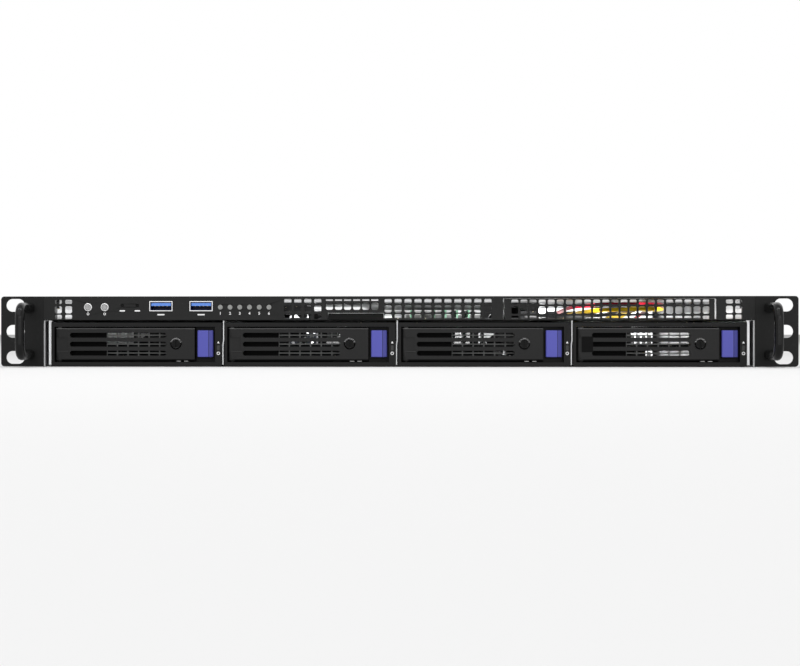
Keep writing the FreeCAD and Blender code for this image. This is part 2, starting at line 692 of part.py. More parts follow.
def release(bay):
    """Push button that frees the lever: creased face and a guide stem."""
    x = release_left(bay)
    back = FRONT_Y + RELEASE_DEPTH
    front = FRONT_Y - RELEASE_PROUD
    low = RELEASE_Z - RELEASE_HEIGHT / 2
    right = x + RELEASE_WIDTH
    slope = front + RELEASE_SLOPE
    edge = RELEASE_EDGE
    crease = x + RELEASE_WIDTH * RELEASE_CREASE
    outline = [(x, back), (x, slope + edge), (x + edge, slope), (crease, front),
               (right - edge, slope), (right, slope + edge), (right, back)]
    cap = prism([V(px, py, low) for px, py in outline], V(0, 0, RELEASE_HEIGHT))
    mid = x + RELEASE_WIDTH / 2
    stem = box(mid - STEM_WIDTH / 2, mid + STEM_WIDTH / 2, back, FRONT_Y + BEZEL_DEPTH - STEM_END_GAP,
               RELEASE_Z - STEM_HEIGHT / 2, RELEASE_Z + STEM_HEIGHT / 2)
    return joined([cap, stem])


# ---- Front controls -------------------------------------------------------------------------------

CONTROL_LEFT = -196.0
CONTROL_RIGHT = -46.0
CONTROL_DEPTH = 34.0
BUTTON_PROUD = 0.7
BUTTON_TRAVEL = 0.8
BUTTON_FLANGE = 0.8
BUTTON_STEM = 2.4
BUTTON_STEM_WIDTH = 2.0
BUTTON_RIM = 0.3
BUTTON_KEEPER = 0.6
CONTROL_FRONT = PANEL_BACK + RUN_GAP + BUTTON_FLANGE + BUTTON_TRAVEL + RUN_GAP
PLUNGER_R = 0.85
PLUNGER_SUNK = 0.6
PLUNGER_BEHIND = 2.5
PLUNGER_TRAVEL = 0.4
SWITCH_SIZE = 6.0
SWITCH_ABOVE = 2.0
POST_R = 2.5
POST_INSET = 5.5
CABLE_SOCKET_WIDTH = 22.0
CABLE_SOCKET_HEIGHT = 3.2
LED_PROUD = 0.2
LED_LENGTH = 6.5


def control_top():
    """Upper face of the control board, where the sockets stand."""
    return USB_Z - USB_HEIGHT / 2


def control_board():
    """Small board on four posts, with switch bodies, lamp holders and a cable socket."""
    top = control_top()
    end = CONTROL_FRONT + CONTROL_DEPTH
    pieces = [box(CONTROL_LEFT, CONTROL_RIGHT, CONTROL_FRONT, end, top - BOARD_T, top)]
    post = V(0, 0, top - BOARD_T - CAGE_ROOF_TOP)
    for x in (CONTROL_LEFT + POST_INSET, CONTROL_RIGHT - POST_INSET):
        for y in (CONTROL_FRONT + POST_INSET, end - POST_INSET):
            pieces.append(hex_rod(V(x, y, CAGE_ROOF_TOP), POST_R, post))
    half = SWITCH_SIZE / 2
    for x in BUTTON_XS:
        y = FRONT_Y - BUTTON_PROUD + button_length() + BUTTON_TRAVEL + RUN_GAP
        pieces.append(box(x - half, x + half, y, y + SWITCH_SIZE, top, CONTROL_Z + SWITCH_ABOVE))
    for x in PINHOLE_XS:
        y = FRONT_Y + PLUNGER_SUNK + plunger_length() + PLUNGER_TRAVEL + RUN_GAP
        pieces.append(box(x - half, x + half, y, y + SWITCH_SIZE, top, PINHOLE_Z + SWITCH_ABOVE))
    for i in range(LEDS):
        x = LED_START_X + i * LED_PITCH
        y = FRONT_Y - LED_PROUD + LED_LENGTH
        pieces.append(box(x - LED_R, x + LED_R, y, y + 2 * LED_R, top, CONTROL_Z + LED_R))
    right = CONTROL_RIGHT - POST_INSET
    pieces.append(box(right - CABLE_SOCKET_WIDTH, right, CONTROL_FRONT + 2 * POST_INSET,
                      end - 2 * POST_INSET, top, top + CABLE_SOCKET_HEIGHT))
    return joined(pieces)


def button_length():
    """A front button from its face to the end of its stem."""
    return BUTTON_PROUD + PANEL_SHEET + BUTTON_FLANGE + RUN_GAP + BUTTON_STEM


def button(x):
    """Round front button, broken rim, with a keeper flange behind the panel and a square stem."""
    front = FRONT_Y - BUTTON_PROUD
    keeper_y = PANEL_BACK + RUN_GAP
    shank = rod(x, front, CONTROL_Z, BUTTON_R, keeper_y - front, Y_AXIS)
    rim = [e for e in shank.Edges if e.BoundBox.YMax < front + 0.01]
    shank = shank.makeChamfer(BUTTON_RIM, rim)
    keeper = rod(x, keeper_y, CONTROL_Z, BUTTON_R + BUTTON_KEEPER, BUTTON_FLANGE, Y_AXIS)
    half = BUTTON_STEM_WIDTH / 2
    stem = box(x - half, x + half, keeper_y, keeper_y + BUTTON_FLANGE + BUTTON_STEM,
               CONTROL_Z - half, CONTROL_Z + half)
    return joined([shank, keeper, stem])


def plunger_length():
    """A sunk switch pin from its face to its end."""
    return PANEL_SHEET - PLUNGER_SUNK + PLUNGER_BEHIND


def plunger(x):
    """Thin switch pin sunk in its pinhole."""
    return rod(x, FRONT_Y + PLUNGER_SUNK, PINHOLE_Z, PLUNGER_R, plunger_length(), Y_AXIS)


def led_lenses():
    """Row of small round lamp lenses."""
    front = FRONT_Y - LED_PROUD
    radius = LED_R - SHAFT_GAP
    return [rod(LED_START_X + i * LED_PITCH, front, CONTROL_Z, radius, LED_LENGTH, Y_AXIS)
            for i in range(LEDS)]


def usb_shells():
    """Folded metal mouths of the two sockets, closed at the back."""
    shells = []
    low = control_top() + SHAFT_GAP
    high = control_top() + USB_HEIGHT - SHAFT_GAP
    front = FRONT_Y - USB_PROUD
    wall = USB_WALL
    for x in USB_XS:
        half = USB_WIDTH / 2 - SHAFT_GAP
        shell = box(x - half, x + half, front, front + USB_DEPTH, low, high)
        mouth = box(x - half + wall, x + half - wall, front - 1, front + USB_DEPTH - wall,
                    low + wall, high - wall)
        shells.append(shell.cut(mouth))
    return shells


USB_TONGUE_T = 1.8
USB_TONGUE_SUNK = 0.8
USB_TONGUE_ROOM = 0.6


def usb_tongues():
    """Plastic contact tongue inside each socket."""
    tongues = []
    half = USB_WIDTH / 2 - USB_WALL - USB_TONGUE_ROOM
    high = USB_Z + USB_HEIGHT / 2 - USB_WALL - USB_TONGUE_ROOM
    front = FRONT_Y - USB_PROUD
    for x in USB_XS:
        tongues.append(box(x - half, x + half, front + USB_TONGUE_SUNK, front + USB_DEPTH - USB_WALL,
                           high - USB_TONGUE_T, high))
    return tongues


TAG_PROUD = 0.4


def service_tag():
    """Pull-out card behind a lip that fills its slot; the card slides on the cage roof."""
    gap = RUN_GAP / 2
    low = TAG_LOW + gap
    lip = box(TAG_LEFT + gap, TAG_RIGHT - gap, FRONT_Y - TAG_PROUD, PANEL_BACK,
              low, low + TAG_LIP_HEIGHT - 2 * gap)
    card_z = CAGE_ROOF_TOP + RUN_GAP
    inset = TAG_CARD_INSET
    card = box(TAG_LEFT + inset, TAG_RIGHT - inset, PANEL_BACK, PANEL_BACK + TAG_LENGTH,
               card_z, card_z + TAG_CARD)
    return joined([lip, card])


# ---- Fans -----------------------------------------------------------------------------------------

FAN_SPIDER = 3.0
FAN_ARM = 2.4
FAN_ARM_LAP = 0.4
BLADE_T = 1.2
BLADE_CHORD = 15.0
BLADE_TILT = 38.0
BLADE_GAP = 0.7
BLADE_ROOT = 1.5
ROTOR_DEPTH = 20.0
ROTOR_FRONT = FAN_Y + 2.0


def fan_centre(fan):
    """Axis of a fan, and its height."""
    return FAN_XS[fan], SHEET + FAN_SIZE / 2


def fan_frames():
    """Square fan housings with a bore, four arms at the back, a motor plate and a shaft."""
    frames = []
    half = FAN_SIZE / 2
    back = FAN_Y + FAN_DEPTH
    arm = FAN_ARM / 2
    reach = FAN_BORE_R + FAN_ARM_LAP
    for fan in range(len(FAN_XS)):
        x, z = fan_centre(fan)
        frame = box(x - half, x + half, FAN_Y, back, z - half, z + half)
        frame = frame.cut(rod(x, FAN_Y - 1, z, FAN_BORE_R, FAN_DEPTH + 2, Y_AXIS))
        across = box(x - reach, x + reach, back - FAN_SPIDER, back, z - arm, z + arm)
        upright = box(x - arm, x + arm, back - FAN_SPIDER, back, z - reach, z + reach)
        plate = rod(x, back - FAN_SPIDER, z, HUB_R, FAN_SPIDER, Y_AXIS)
        shaft = rod(x, ROTOR_FRONT, z, SHAFT_R, back - ROTOR_FRONT, Y_AXIS)
        frames.append(joined([frame, across, upright, plate, shaft]))
    return frames


def fan_rotor(fan):
    """Hub with tilted blades, free on the housing's shaft."""
    x, z = fan_centre(fan)
    centre = V(x, ROTOR_FRONT + ROTOR_DEPTH / 2, z)
    hub = rod(x, ROTOR_FRONT, z, HUB_R, ROTOR_DEPTH, Y_AXIS)
    tip = FAN_BORE_R - BLADE_GAP
    swept_room = rod(x, ROTOR_FRONT, z, tip, ROTOR_DEPTH, Y_AXIS)
    blades = []
    for i in range(BLADES):
        blade = box(x + HUB_R - BLADE_ROOT, x + tip + 1, centre.y - BLADE_CHORD / 2,
                    centre.y + BLADE_CHORD / 2, z - BLADE_T / 2, z + BLADE_T / 2)
        blade.rotate(centre, X_AXIS, BLADE_TILT)
        blade.rotate(centre, Y_AXIS, 360.0 / BLADES * i)
        blades.append(blade.common(swept_room))
    bore = rod(x, ROTOR_FRONT - 1, z, SHAFT_R + SHAFT_GAP, ROTOR_DEPTH + 2, Y_AXIS)
    return joined([hub] + blades).cut(bore)


# ---- Main board and power supply ------------------------------------------------------------------

SINK_XS = (-150.0, -45.0)
SINK_FROM_FRONT = 64.0
SINK_WIDTH = 78.0
SINK_DEPTH = 90.0
SINK_BASE = 4.0
SINK_HEIGHT = 25.0
FINS = 15
FIN_T = 1.0
DIMM_LENGTH = 133.35
DIMM_HEIGHT = 28.0
DIMM_T = 1.4
DIMM_PITCH = 9.5
DIMM_FIRST_X = 10.0
DIMM_FROM_FRONT = 14.0
DIMMS = 6
DIMM_SEAT = 2.0
DIMM_NOTCH = 2.4
DIMM_NOTCH_SHARE = 0.53
DIMM_SOCKET = 6.0
DIMM_SOCKET_LENGTH = 141.0
DIMM_SOCKET_T = 6.0
LATCH_T = 4.0
LATCH_DEPTH = 3.0
LATCH_HEIGHT = 16.0
CHIPSET_X = -105.0
CHIPSET_FROM_FRONT = 164.0
CHIPSET_SIZE = 30.0
CHIPSET_T = 3.0
COILS = 7
COIL_X = -189.0
COIL_PITCH = 12.0
COIL_SIZE = 9.0
COIL_T = 7.0
COIL_FROM_FRONT = 46.0
PLUGS = 4
PLUG_X = -190.0
PLUG_PITCH = 20.0
PLUG_WIDTH = 16.0
PLUG_DEPTH = 8.0
PLUG_HEIGHT = 9.0
PLUG_FROM_FRONT = 4.0


def motherboard():
    """Main circuit board with its chip package, coils, drive connectors and memory sockets."""
    board = box(MAIN_LEFT, MAIN_RIGHT, MAIN_FRONT, MAIN_BACK, MAIN_Z, MAIN_TOP)
    y = MAIN_FRONT + CHIPSET_FROM_FRONT
    chip = box(CHIPSET_X, CHIPSET_X + CHIPSET_SIZE, y, y + CHIPSET_SIZE, MAIN_TOP, MAIN_TOP + CHIPSET_T)
    pieces = [board, chip]
    y = MAIN_FRONT + COIL_FROM_FRONT
    for i in range(COILS):
        x = COIL_X + i * COIL_PITCH
        pieces.append(box(x, x + COIL_SIZE, y, y + COIL_SIZE, MAIN_TOP, MAIN_TOP + COIL_T))
    y = MAIN_FRONT + PLUG_FROM_FRONT
    for i in range(PLUGS):
        x = PLUG_X + i * PLUG_PITCH
        pieces.append(box(x, x + PLUG_WIDTH, y, y + PLUG_DEPTH, MAIN_TOP, MAIN_TOP + PLUG_HEIGHT))
    half = DATA_WIDTH / 2 + DATA_HEADER_WALL
    for x in DATA_XS:
        pieces.append(box(x - half, x + half, DATA_BOARD_Y, DATA_BOARD_Y + DATA_HEADER,
                          MAIN_TOP, DATA_Z - DATA_DROP + DATA_HEADER_WALL + DATA_T / 2))
    return joined(pieces + memory_sockets())


def heatsinks():
    """Two finned blocks, one over each processor."""
    sinks = []
    half = SINK_WIDTH / 2
    front = MAIN_FRONT + SINK_FROM_FRONT
    back = front + SINK_DEPTH
    pitch = (SINK_WIDTH - FIN_T) / (FINS - 1)
    for x in SINK_XS:
        base = box(x - half, x + half, front, back, MAIN_TOP, MAIN_TOP + SINK_BASE)
        lefts = [x - half + i * pitch for i in range(FINS)]
        fins = [box(left, left + FIN_T, front, back, MAIN_TOP + SINK_BASE, MAIN_TOP + SINK_HEIGHT)
                for left in lefts]
        sinks.append(joined([base] + fins))
    return sinks


def dimm_x(i):
    """Middle plane of a memory module."""
    return DIMM_FIRST_X + i * DIMM_PITCH


def dimm_front():
    """Front edge of the memory modules."""
    return MAIN_FRONT + DIMM_FROM_FRONT


def memory_sockets():
    """Long slotted sockets with a latch post at each end."""
    sockets = []
    half = DIMM_SOCKET_T / 2
    groove_half = DIMM_T / 2 + SHAFT_GAP
    start = dimm_front() - (DIMM_SOCKET_LENGTH - DIMM_LENGTH) / 2
    end = start + DIMM_SOCKET_LENGTH
    for i in range(DIMMS):
        x = dimm_x(i)
        body = box(x - half, x + half, start, end, MAIN_TOP, MAIN_TOP + DIMM_SOCKET)
        groove = box(x - groove_half, x + groove_half, dimm_front() - SHAFT_GAP,
                     dimm_front() + DIMM_LENGTH + SHAFT_GAP, MAIN_TOP + DIMM_SEAT, MAIN_TOP + DIMM_SOCKET + 1)
        latches = [box(x - LATCH_T / 2, x + LATCH_T / 2, y, y + LATCH_DEPTH,
                       MAIN_TOP, MAIN_TOP + LATCH_HEIGHT) for y in (start, end - LATCH_DEPTH)]
        sockets.append(joined([body.cut(groove)] + latches))
    return sockets


def memory_modules():
    """Memory cards standing in their sockets, each with a key notch in its lower edge."""
    modules = []
    low = MAIN_TOP + DIMM_SEAT
    front = dimm_front()
    notch_y = front + DIMM_LENGTH * DIMM_NOTCH_SHARE
    for i in range(DIMMS):
        x = dimm_x(i)
        half = DIMM_T / 2
        card = box(x - half, x + half, front, front + DIMM_LENGTH, low, low + DIMM_HEIGHT)
        notch = box(x - half - 1, x + half + 1, notch_y, notch_y + DIMM_NOTCH, low - 1, low + DIMM_NOTCH)
        modules.append(card.cut(notch))
    return modules


PORT_PROUD = 0.8
PORT_MOUTH_DEPTH = 8.2
STACK_FROM_LEFT = (8.0, 28.0)
STACK_WIDTH = 15.0
STACK_HEIGHT = 16.0
STACK_DEPTH = 18.0
STACK_MOUTH = 5.2
STACK_WALL = 1.4
STACK_TONGUE = 1.6
JACK_FROM_LEFT = (50.0, 68.0, 86.0)
JACK_SIZE = (16.0, 13.5, 21.0)
JACK_MOUTH = (12.4, 8.6)
VIDEO_FROM_LEFT = 112.0
VIDEO_SIZE = (31.0, 12.5, 14.0)
VIDEO_MOUTH = (17.0, 8.4)
PORT_END = REAR_IN + PORT_PROUD


def port(x, size, mouth):
    """Metal port box at the rear edge with a rectangular mouth in the middle of its face."""
    width, height, depth = size
    mouth_width, mouth_height = mouth
    body = box(x, x + width, PORT_END - depth, PORT_END, MAIN_TOP, MAIN_TOP + height)
    left = x + (width - mouth_width) / 2
    low = MAIN_TOP + (height - mouth_height) / 2
    return body.cut(box(left, left + mouth_width, PORT_END - PORT_MOUTH_DEPTH - PORT_PROUD, PORT_END + 1,
                        low, low + mouth_height))


def socket_stack(x):
    """Two sockets one above the other, each with a contact tongue."""
    body = box(x, x + STACK_WIDTH, PORT_END - STACK_DEPTH, PORT_END, MAIN_TOP, MAIN_TOP + STACK_HEIGHT)
    wall = STACK_WALL
    back = PORT_END - PORT_MOUTH_DEPTH
    step = (STACK_HEIGHT - wall) / 2
    mouths = []
    tongues = []
    for level in range(2):
        low = MAIN_TOP + wall + level * step
        mouths.append(box(x + wall, x + STACK_WIDTH - wall, back, PORT_END + 1, low, low + STACK_MOUTH))
        tongue = low + (STACK_MOUTH - STACK_TONGUE) / 2
        tongues.append(box(x + 2 * wall, x + STACK_WIDTH - 2 * wall, back - 1, PORT_END - 1,
                           tongue, tongue + STACK_TONGUE))
    return joined([without(body, mouths)] + tongues)


def io_ports():
    """Rear ports: two stacked socket pairs, three network jacks and a video connector."""
    stacks = [socket_stack(IO_LEFT + x) for x in STACK_FROM_LEFT]
    jacks = [port(IO_LEFT + x, JACK_SIZE, JACK_MOUTH) for x in JACK_FROM_LEFT]
    return stacks + jacks + [port(IO_LEFT + VIDEO_FROM_LEFT, VIDEO_SIZE, VIDEO_MOUTH)]


RISER_DEPTH = 70.0


def riser_bracket():
    """Card bracket: an upright on the floor beside the slot and a blank slot cover."""
    right = SLOT_COVER_LEFT + SLOT_COVER_WIDTH
    top = SLOT_COVER_BOTTOM + SLOT_COVER_HEIGHT
    cover = box(SLOT_COVER_LEFT, right, REAR_IN - SHEET, REAR_IN, SLOT_COVER_BOTTOM, top)
    upright = box(right, right + SHEET, REAR_IN - RISER_DEPTH, REAR_IN, SHEET, top)
    return joined([cover, upright])


PSU_FAN_R = 17.5
PSU_FAN_INSET = 24.0
PSU_SLOT = 3.2
PSU_SLOT_PITCH = 6.0
PSU_SLOT_DEEP = 3.0
INLET_X = 4.5
INLET_WIDTH = 27.5
INLET_HEIGHT = 20.0
INLET_Z = 16.0
INLET_DEEP = 14.0
INLET_FLANGE = 1.5
INLET_LIP = 1.0
INLET_WALL = 1.75
INLET_KEY = 5.0
INLET_FLOOR = 2.0
INLET_PIN = (2.0, 4.0)
INLET_PIN_SUNK = 2.0
INLET_PINS = ((-7.0, -1.0), (7.0, -1.0), (0.0, 3.0))
SWITCH_X = 34.0
SWITCH_WIDTH = 9.0
SWITCH_HEIGHT = 14.0
SWITCH_Z = INLET_Z + (INLET_HEIGHT - SWITCH_HEIGHT) / 2
SWITCH_DEEP = 10.0


def psu_left():
    """Left side of the power supply."""
    return PSU_RIGHT - PSU_WIDTH


def psu_case():
    """Closed supply case with a fan grille and two pockets in its rear face."""
    x = psu_left()
    case = box(x, PSU_RIGHT, REAR_IN - PSU_DEPTH, REAR_IN, SHEET, SHEET + PSU_HEIGHT)
    middle = SHEET + PSU_HEIGHT / 2
    fan_x = PSU_RIGHT - PSU_FAN_INSET
    cuts = []
    for i in range(-2, 3):
        z = middle + i * PSU_SLOT_PITCH
        half = math.sqrt(PSU_FAN_R ** 2 - (z - middle) ** 2)
        cuts.append(box(fan_x - half, fan_x + half, REAR_IN - PSU_SLOT_DEEP, REAR_IN + 1,
                        z - PSU_SLOT / 2, z + PSU_SLOT / 2))
    cuts.append(box(x + INLET_X, x + INLET_X + INLET_WIDTH, REAR_IN - INLET_DEEP, REAR_IN + 1,
                    INLET_Z, INLET_Z + INLET_HEIGHT))
    cuts.append(box(x + SWITCH_X, x + SWITCH_X + SWITCH_WIDTH, REAR_IN - SWITCH_DEEP, REAR_IN + 1,
                    SWITCH_Z, SWITCH_Z + SWITCH_HEIGHT))
    return without(case, cuts)


def psu_inlet():
    """Mains inlet: keyed mouth with three flat pins."""
    x = psu_left() + INLET_X
    y = REAR_IN - INLET_DEEP
    high = INLET_Z + INLET_HEIGHT
    lap = INLET_FLANGE
    body = box(x, x + INLET_WIDTH, y, REAR_IN, INLET_Z, high)
    lip = box(x - lap, x + INLET_WIDTH + lap, REAR_IN, REAR_IN + INLET_LIP, INLET_Z - lap, high + lap)
    left, right = x + INLET_WALL, x + INLET_WIDTH - INLET_WALL
    low, top = INLET_Z + INLET_WALL, high - INLET_WALL
    shoulder = top - INLET_KEY
    outline = [(left, low), (right, low), (right, shoulder), (right - INLET_KEY, top),
               (left + INLET_KEY, top), (left, shoulder)]
    floor_y = y + INLET_FLOOR
    mouth = prism([V(px, floor_y, pz) for px, pz in outline], V(0, INLET_DEEP + 1, 0))
    cx = x + INLET_WIDTH / 2
    cz = INLET_Z + INLET_HEIGHT / 2
    half_x, half_z = INLET_PIN[0] / 2, INLET_PIN[1] / 2
    pins = [box(cx + dx - half_x, cx + dx + half_x, y, REAR_IN - INLET_PIN_SUNK,
                cz + dz - half_z, cz + dz + half_z) for dx, dz in INLET_PINS]
    return joined([joined([body, lip]).cut(mouth)] + pins)


ROCKER_TIP = 8.0
ROCKER_SUNK = 3.0
ROCKER_END_GAP = 1.2
ROCKER_FRONT = 3.2
ROCKER_DIP = 1.2


def psu_switch():
    """Rocker that tips on a short pin across its pocket."""
    x, y, z = rocker_pin()
    half = SWITCH_HEIGHT / 2 - ROCKER_END_GAP
    width = SWITCH_WIDTH - 2 * RUN_GAP
    face = y + ROCKER_FRONT
    profile = [(y, z - half), (face, z - half), (face - ROCKER_DIP, z), (face, z + half), (y, z + half),
               (y - ROCKER_DIP, z)]
    rocker = prism([V(x + RUN_GAP, py, pz) for py, pz in profile], V(width, 0, 0))
    rocker.rotate(V(x, y, z), X_AXIS, -ROCKER_TIP)
    return rocker


def rocker_pin():
    """Left end of the rocker's axis."""
    return psu_left() + SWITCH_X, REAR_IN - ROCKER_SUNK, SWITCH_Z + SWITCH_HEIGHT / 2


# ---- Wiring ----------------------------------------------------------------------------------------

CORNER_SHARE = 0.45


def route(points, label):
    """Straight runs joined by tangent arcs, each as large as its two runs allow."""
    edges = []
    radii = []
    start = points[0]
    for before, corner, after in zip(points, points[1:], points[2:]):
        back = before - corner
        on = after - corner
        turn = math.pi - back.getAngle(on)
        reach = CORNER_SHARE * min(back.Length, on.Length)
        radius = reach / math.tan(turn / 2)
        radii.append(round(radius, 1))
        a = corner + back.normalize() * reach
        b = corner + on.normalize() * reach
        inward = ((a + b) * 0.5 - corner).normalize()
        middle = corner + inward * (radius / math.cos(turn / 2) - radius)
        edges.append(Part.LineSegment(start, a).toShape())
        edges.append(Part.Arc(a, middle, b).toShape())
        start = b
    edges.append(Part.LineSegment(start, points[-1]).toShape())
    print(label, "radii", radii)
    return Part.Wire(edges)


def swept(points, label, section):
    """Wire or flat cable: a section carried along its route."""
    path = route(points, label)
    pipe = path.makePipeShell([section], True, False)
    area = Part.Face(section).Area
    print(label, "volume over section times length", round(pipe.Volume / area / path.Length, 4))
    return pipe


def wire_section(start):
    """Six-sided section of one wire at the supply's front."""
    turns = [math.radians(60 * k) for k in range(6)]
    r = WIRE_D / 2
    corners = [start + V(r * math.cos(t), 0, r * math.sin(t)) for t in turns]
    return Part.makePolygon(corners + corners[:1])


WIRE_STEP = 2.7


def yellow_wires():
    """Four supply wires that loop forward over the cage and back to the first power header."""
    wires = []
    for k in range(4):
        s = WIRE_STEP * k
        front = REAR_IN - PSU_DEPTH
        points = [V(150 + s, front, 24), V(150 + s, 398, 24.2), V(153 + s, 352, 27), V(160 + s, 300, 32),
                  V(165 + s, 250, 37), V(166 + s, 205, 38.5), V(165 + s, 160, 38), V(162 + s, 115, 36),
                  V(160 + s, 75, 35), V(158 + s, 42, 35.2), V(153 + 0.7 * s, 22 - 0.9 * s, 35),
                  V(141, 15 - 1.15 * s, 34.8), V(129 - 0.7 * s, 24 - 0.9 * s, 34.5), V(124 - s, 48, 33.5),
                  V(121 - s, 85, 32.5), V(119 - s, 125, 32), V(119 - s, WIRE_END, 32)]
        wires.append(swept(points, "yellow wire", wire_section(points[0])))
    return wires


def red_wires():
    """Supply wire that lies highest, round the outside of the loop."""
    front = REAR_IN - PSU_DEPTH
    points = [V(172, front, 20), V(172, 398, 20.3), V(174, 352, 24), V(178, 300, 30), V(181, 250, 36),
              V(181, 205, 38.5), V(178, 160, 38), V(174, 115, 37.2), V(171, 75, 38), V(165, 46, 38.4),
              V(154, 24, 38), V(137, 12, 38.1), V(120, 18, 37.5), V(110, 36, 36.5), V(106, 64, 35),
              V(105, 100, 33.5), V(106, 132, 32), V(106, WIRE_END, 32)]
    return [swept(points, "red wire", wire_section(points[0]))]


def black_wires():
    """Return wires that duck under the loop to the second power header."""
    wires = []
    for k in range(2):
        s = WIRE_STEP * k
        front = REAR_IN - PSU_DEPTH
        points = [V(138 + s, front, 30), V(138 + s, 398, 30.2), V(142 + s, 352, 33), V(147 + s, 300, 37),
                  V(151 + s, 250, 39.2), V(150 + s, 205, 39.5), V(147 + s, 160, 38.7), V(143 + s, 115, 36.5),
                  V(139 + s, 78, 34.4), V(134 + s, 50, 32.4), V(124 + 0.5 * s, 31 - 0.8 * s, 31),
                  V(110, 24 - s, 30.7), V(98 - 0.8 * s, 35 - 0.5 * s, 30.8), V(93 - s, 58, 31.1),
                  V(91 - s, 92, 31.6), V(90.5 - s, 126, 32), V(90.5 - s, WIRE_END, 32)]
        wires.append(swept(points, "black wire", wire_section(points[0])))
    return wires


HEADER_DEPTH = 14.0
HEADER_FRONT = CAGE_DEPTH - HEADER_DEPTH
WIRE_END_GAP = 0.05
WIRE_END = HEADER_FRONT - WIRE_END_GAP
HEADER_HEIGHT = 6.4
DATA_XS = (-55.0, -35.0)
DATA_WIDTH = 12.0
DATA_T = 1.6
DATA_Z = 28.0
DATA_HEADER = 9.0
DATA_HEADER_WALL = 1.5
DATA_DROP = 13.0
DATA_FROM_FRONT = 3.0
DATA_BOARD_Y = MAIN_FRONT + DATA_FROM_FRONT
POWER_HEADER_XS = ((103.0, 122.0), (84.0, 95.0))


def power_headers():
    """Two wire headers on the cage roof against the backplane."""
    return [box(x0, x1, HEADER_FRONT, CAGE_DEPTH, CAGE_ROOF_TOP, CAGE_ROOF_TOP + HEADER_HEIGHT)
            for x0, x1 in POWER_HEADER_XS]


def data_headers():
    """Two flat-cable headers on the back of the backplane."""
    y = CAGE_DEPTH + BOARD_T
    half = DATA_WIDTH / 2 + DATA_HEADER_WALL
    deep = DATA_T / 2 + DATA_HEADER_WALL
    return [box(x - half, x + half, y, y + DATA_HEADER, DATA_Z - deep, DATA_Z + deep) for x in DATA_XS]


def data_cables():
    """Flat drive cables from the backplane, between two fans, to the main board."""
    cables = []
    for x in DATA_XS:
        y = CAGE_DEPTH + BOARD_T + DATA_HEADER
        z = DATA_Z
        points = [V(x, y, z), V(x, y + 34, z + 0.4), V(x, y + 80, z + 5), V(x, y + 130, z + 6),
                  V(x, y + 185, z - DATA_DROP), V(x, DATA_BOARD_Y - WIRE_END_GAP, z - DATA_DROP)]
        w = DATA_WIDTH / 2
        t = DATA_T / 2
        corners = [V(x - w, y, z - t), V(x + w, y, z - t), V(x + w, y, z + t), V(x - w, y, z + t)]
        section = Part.makePolygon(corners + corners[:1])
        cables.append(swept(points, "data cable", section))
    return cables


# ---- All nodes ------------------------------------------------------------------------------------

os.makedirs("parts", exist_ok=True)

write("chassis_base", [chassis_base()])
write("board_standoffs", board_standoffs())
write("rear_panel", [rear_panel()])
write("front_panel", [front_panel()])
write("front_roof", [front_roof()])
write("front_vent_insert", [vent_insert()])
write("top_cover", [top_cover()])
write("right_ear", [ear()])
write("left_ear", [mirrored(ear())])
write("handles", [handle(), mirrored(handle())])
write("drive_cage", [drive_cage()])
write("cage_walls", cage_walls())
write("backplane", [joined([backplane()] + power_headers() + data_headers())])
write("drive_sockets", drive_sockets())
for bay in range(BAYS):
    number = str(bay + 1)
    write("tray_" + number, [tray(bay)])
    write("tray_bezel_" + number, [bezel(bay)])
    write("tray_lever_" + number, [lever(bay)])
    write("tray_lock_" + number, [lock(bay)])
    write("tray_release_" + number, [release(bay)])
write("control_board", [control_board()])
write("power_button", [button(BUTTON_XS[0])])
write("identify_button", [button(BUTTON_XS[1])])
write("reset_pin", [plunger(PINHOLE_XS[0])])
write("interrupt_pin", [plunger(PINHOLE_XS[1])])
write("lamp_lenses", led_lenses())
write("usb_shells", usb_shells())
write("usb_tongues", usb_tongues())
write("service_tag", [service_tag()])
write("fan_frames", fan_frames())
for fan in range(len(FAN_XS)):
    write("fan_rotor_" + str(fan + 1), [fan_rotor(fan)])
write("motherboard", [motherboard()])
write("heatsinks", heatsinks())
write("memory_modules", memory_modules())
write("io_ports", io_ports())
write("riser_bracket", [riser_bracket()])
write("psu_case", [psu_case()])
write("psu_inlet", [psu_inlet()])
write("psu_switch", [psu_switch()])
write("wires_yellow", yellow_wires())
write("wires_red", red_wires())
write("wires_black", black_wires())
write("data_cables", data_cables())
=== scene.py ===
"""Rack server, one unit high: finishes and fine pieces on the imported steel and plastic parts."""
import math

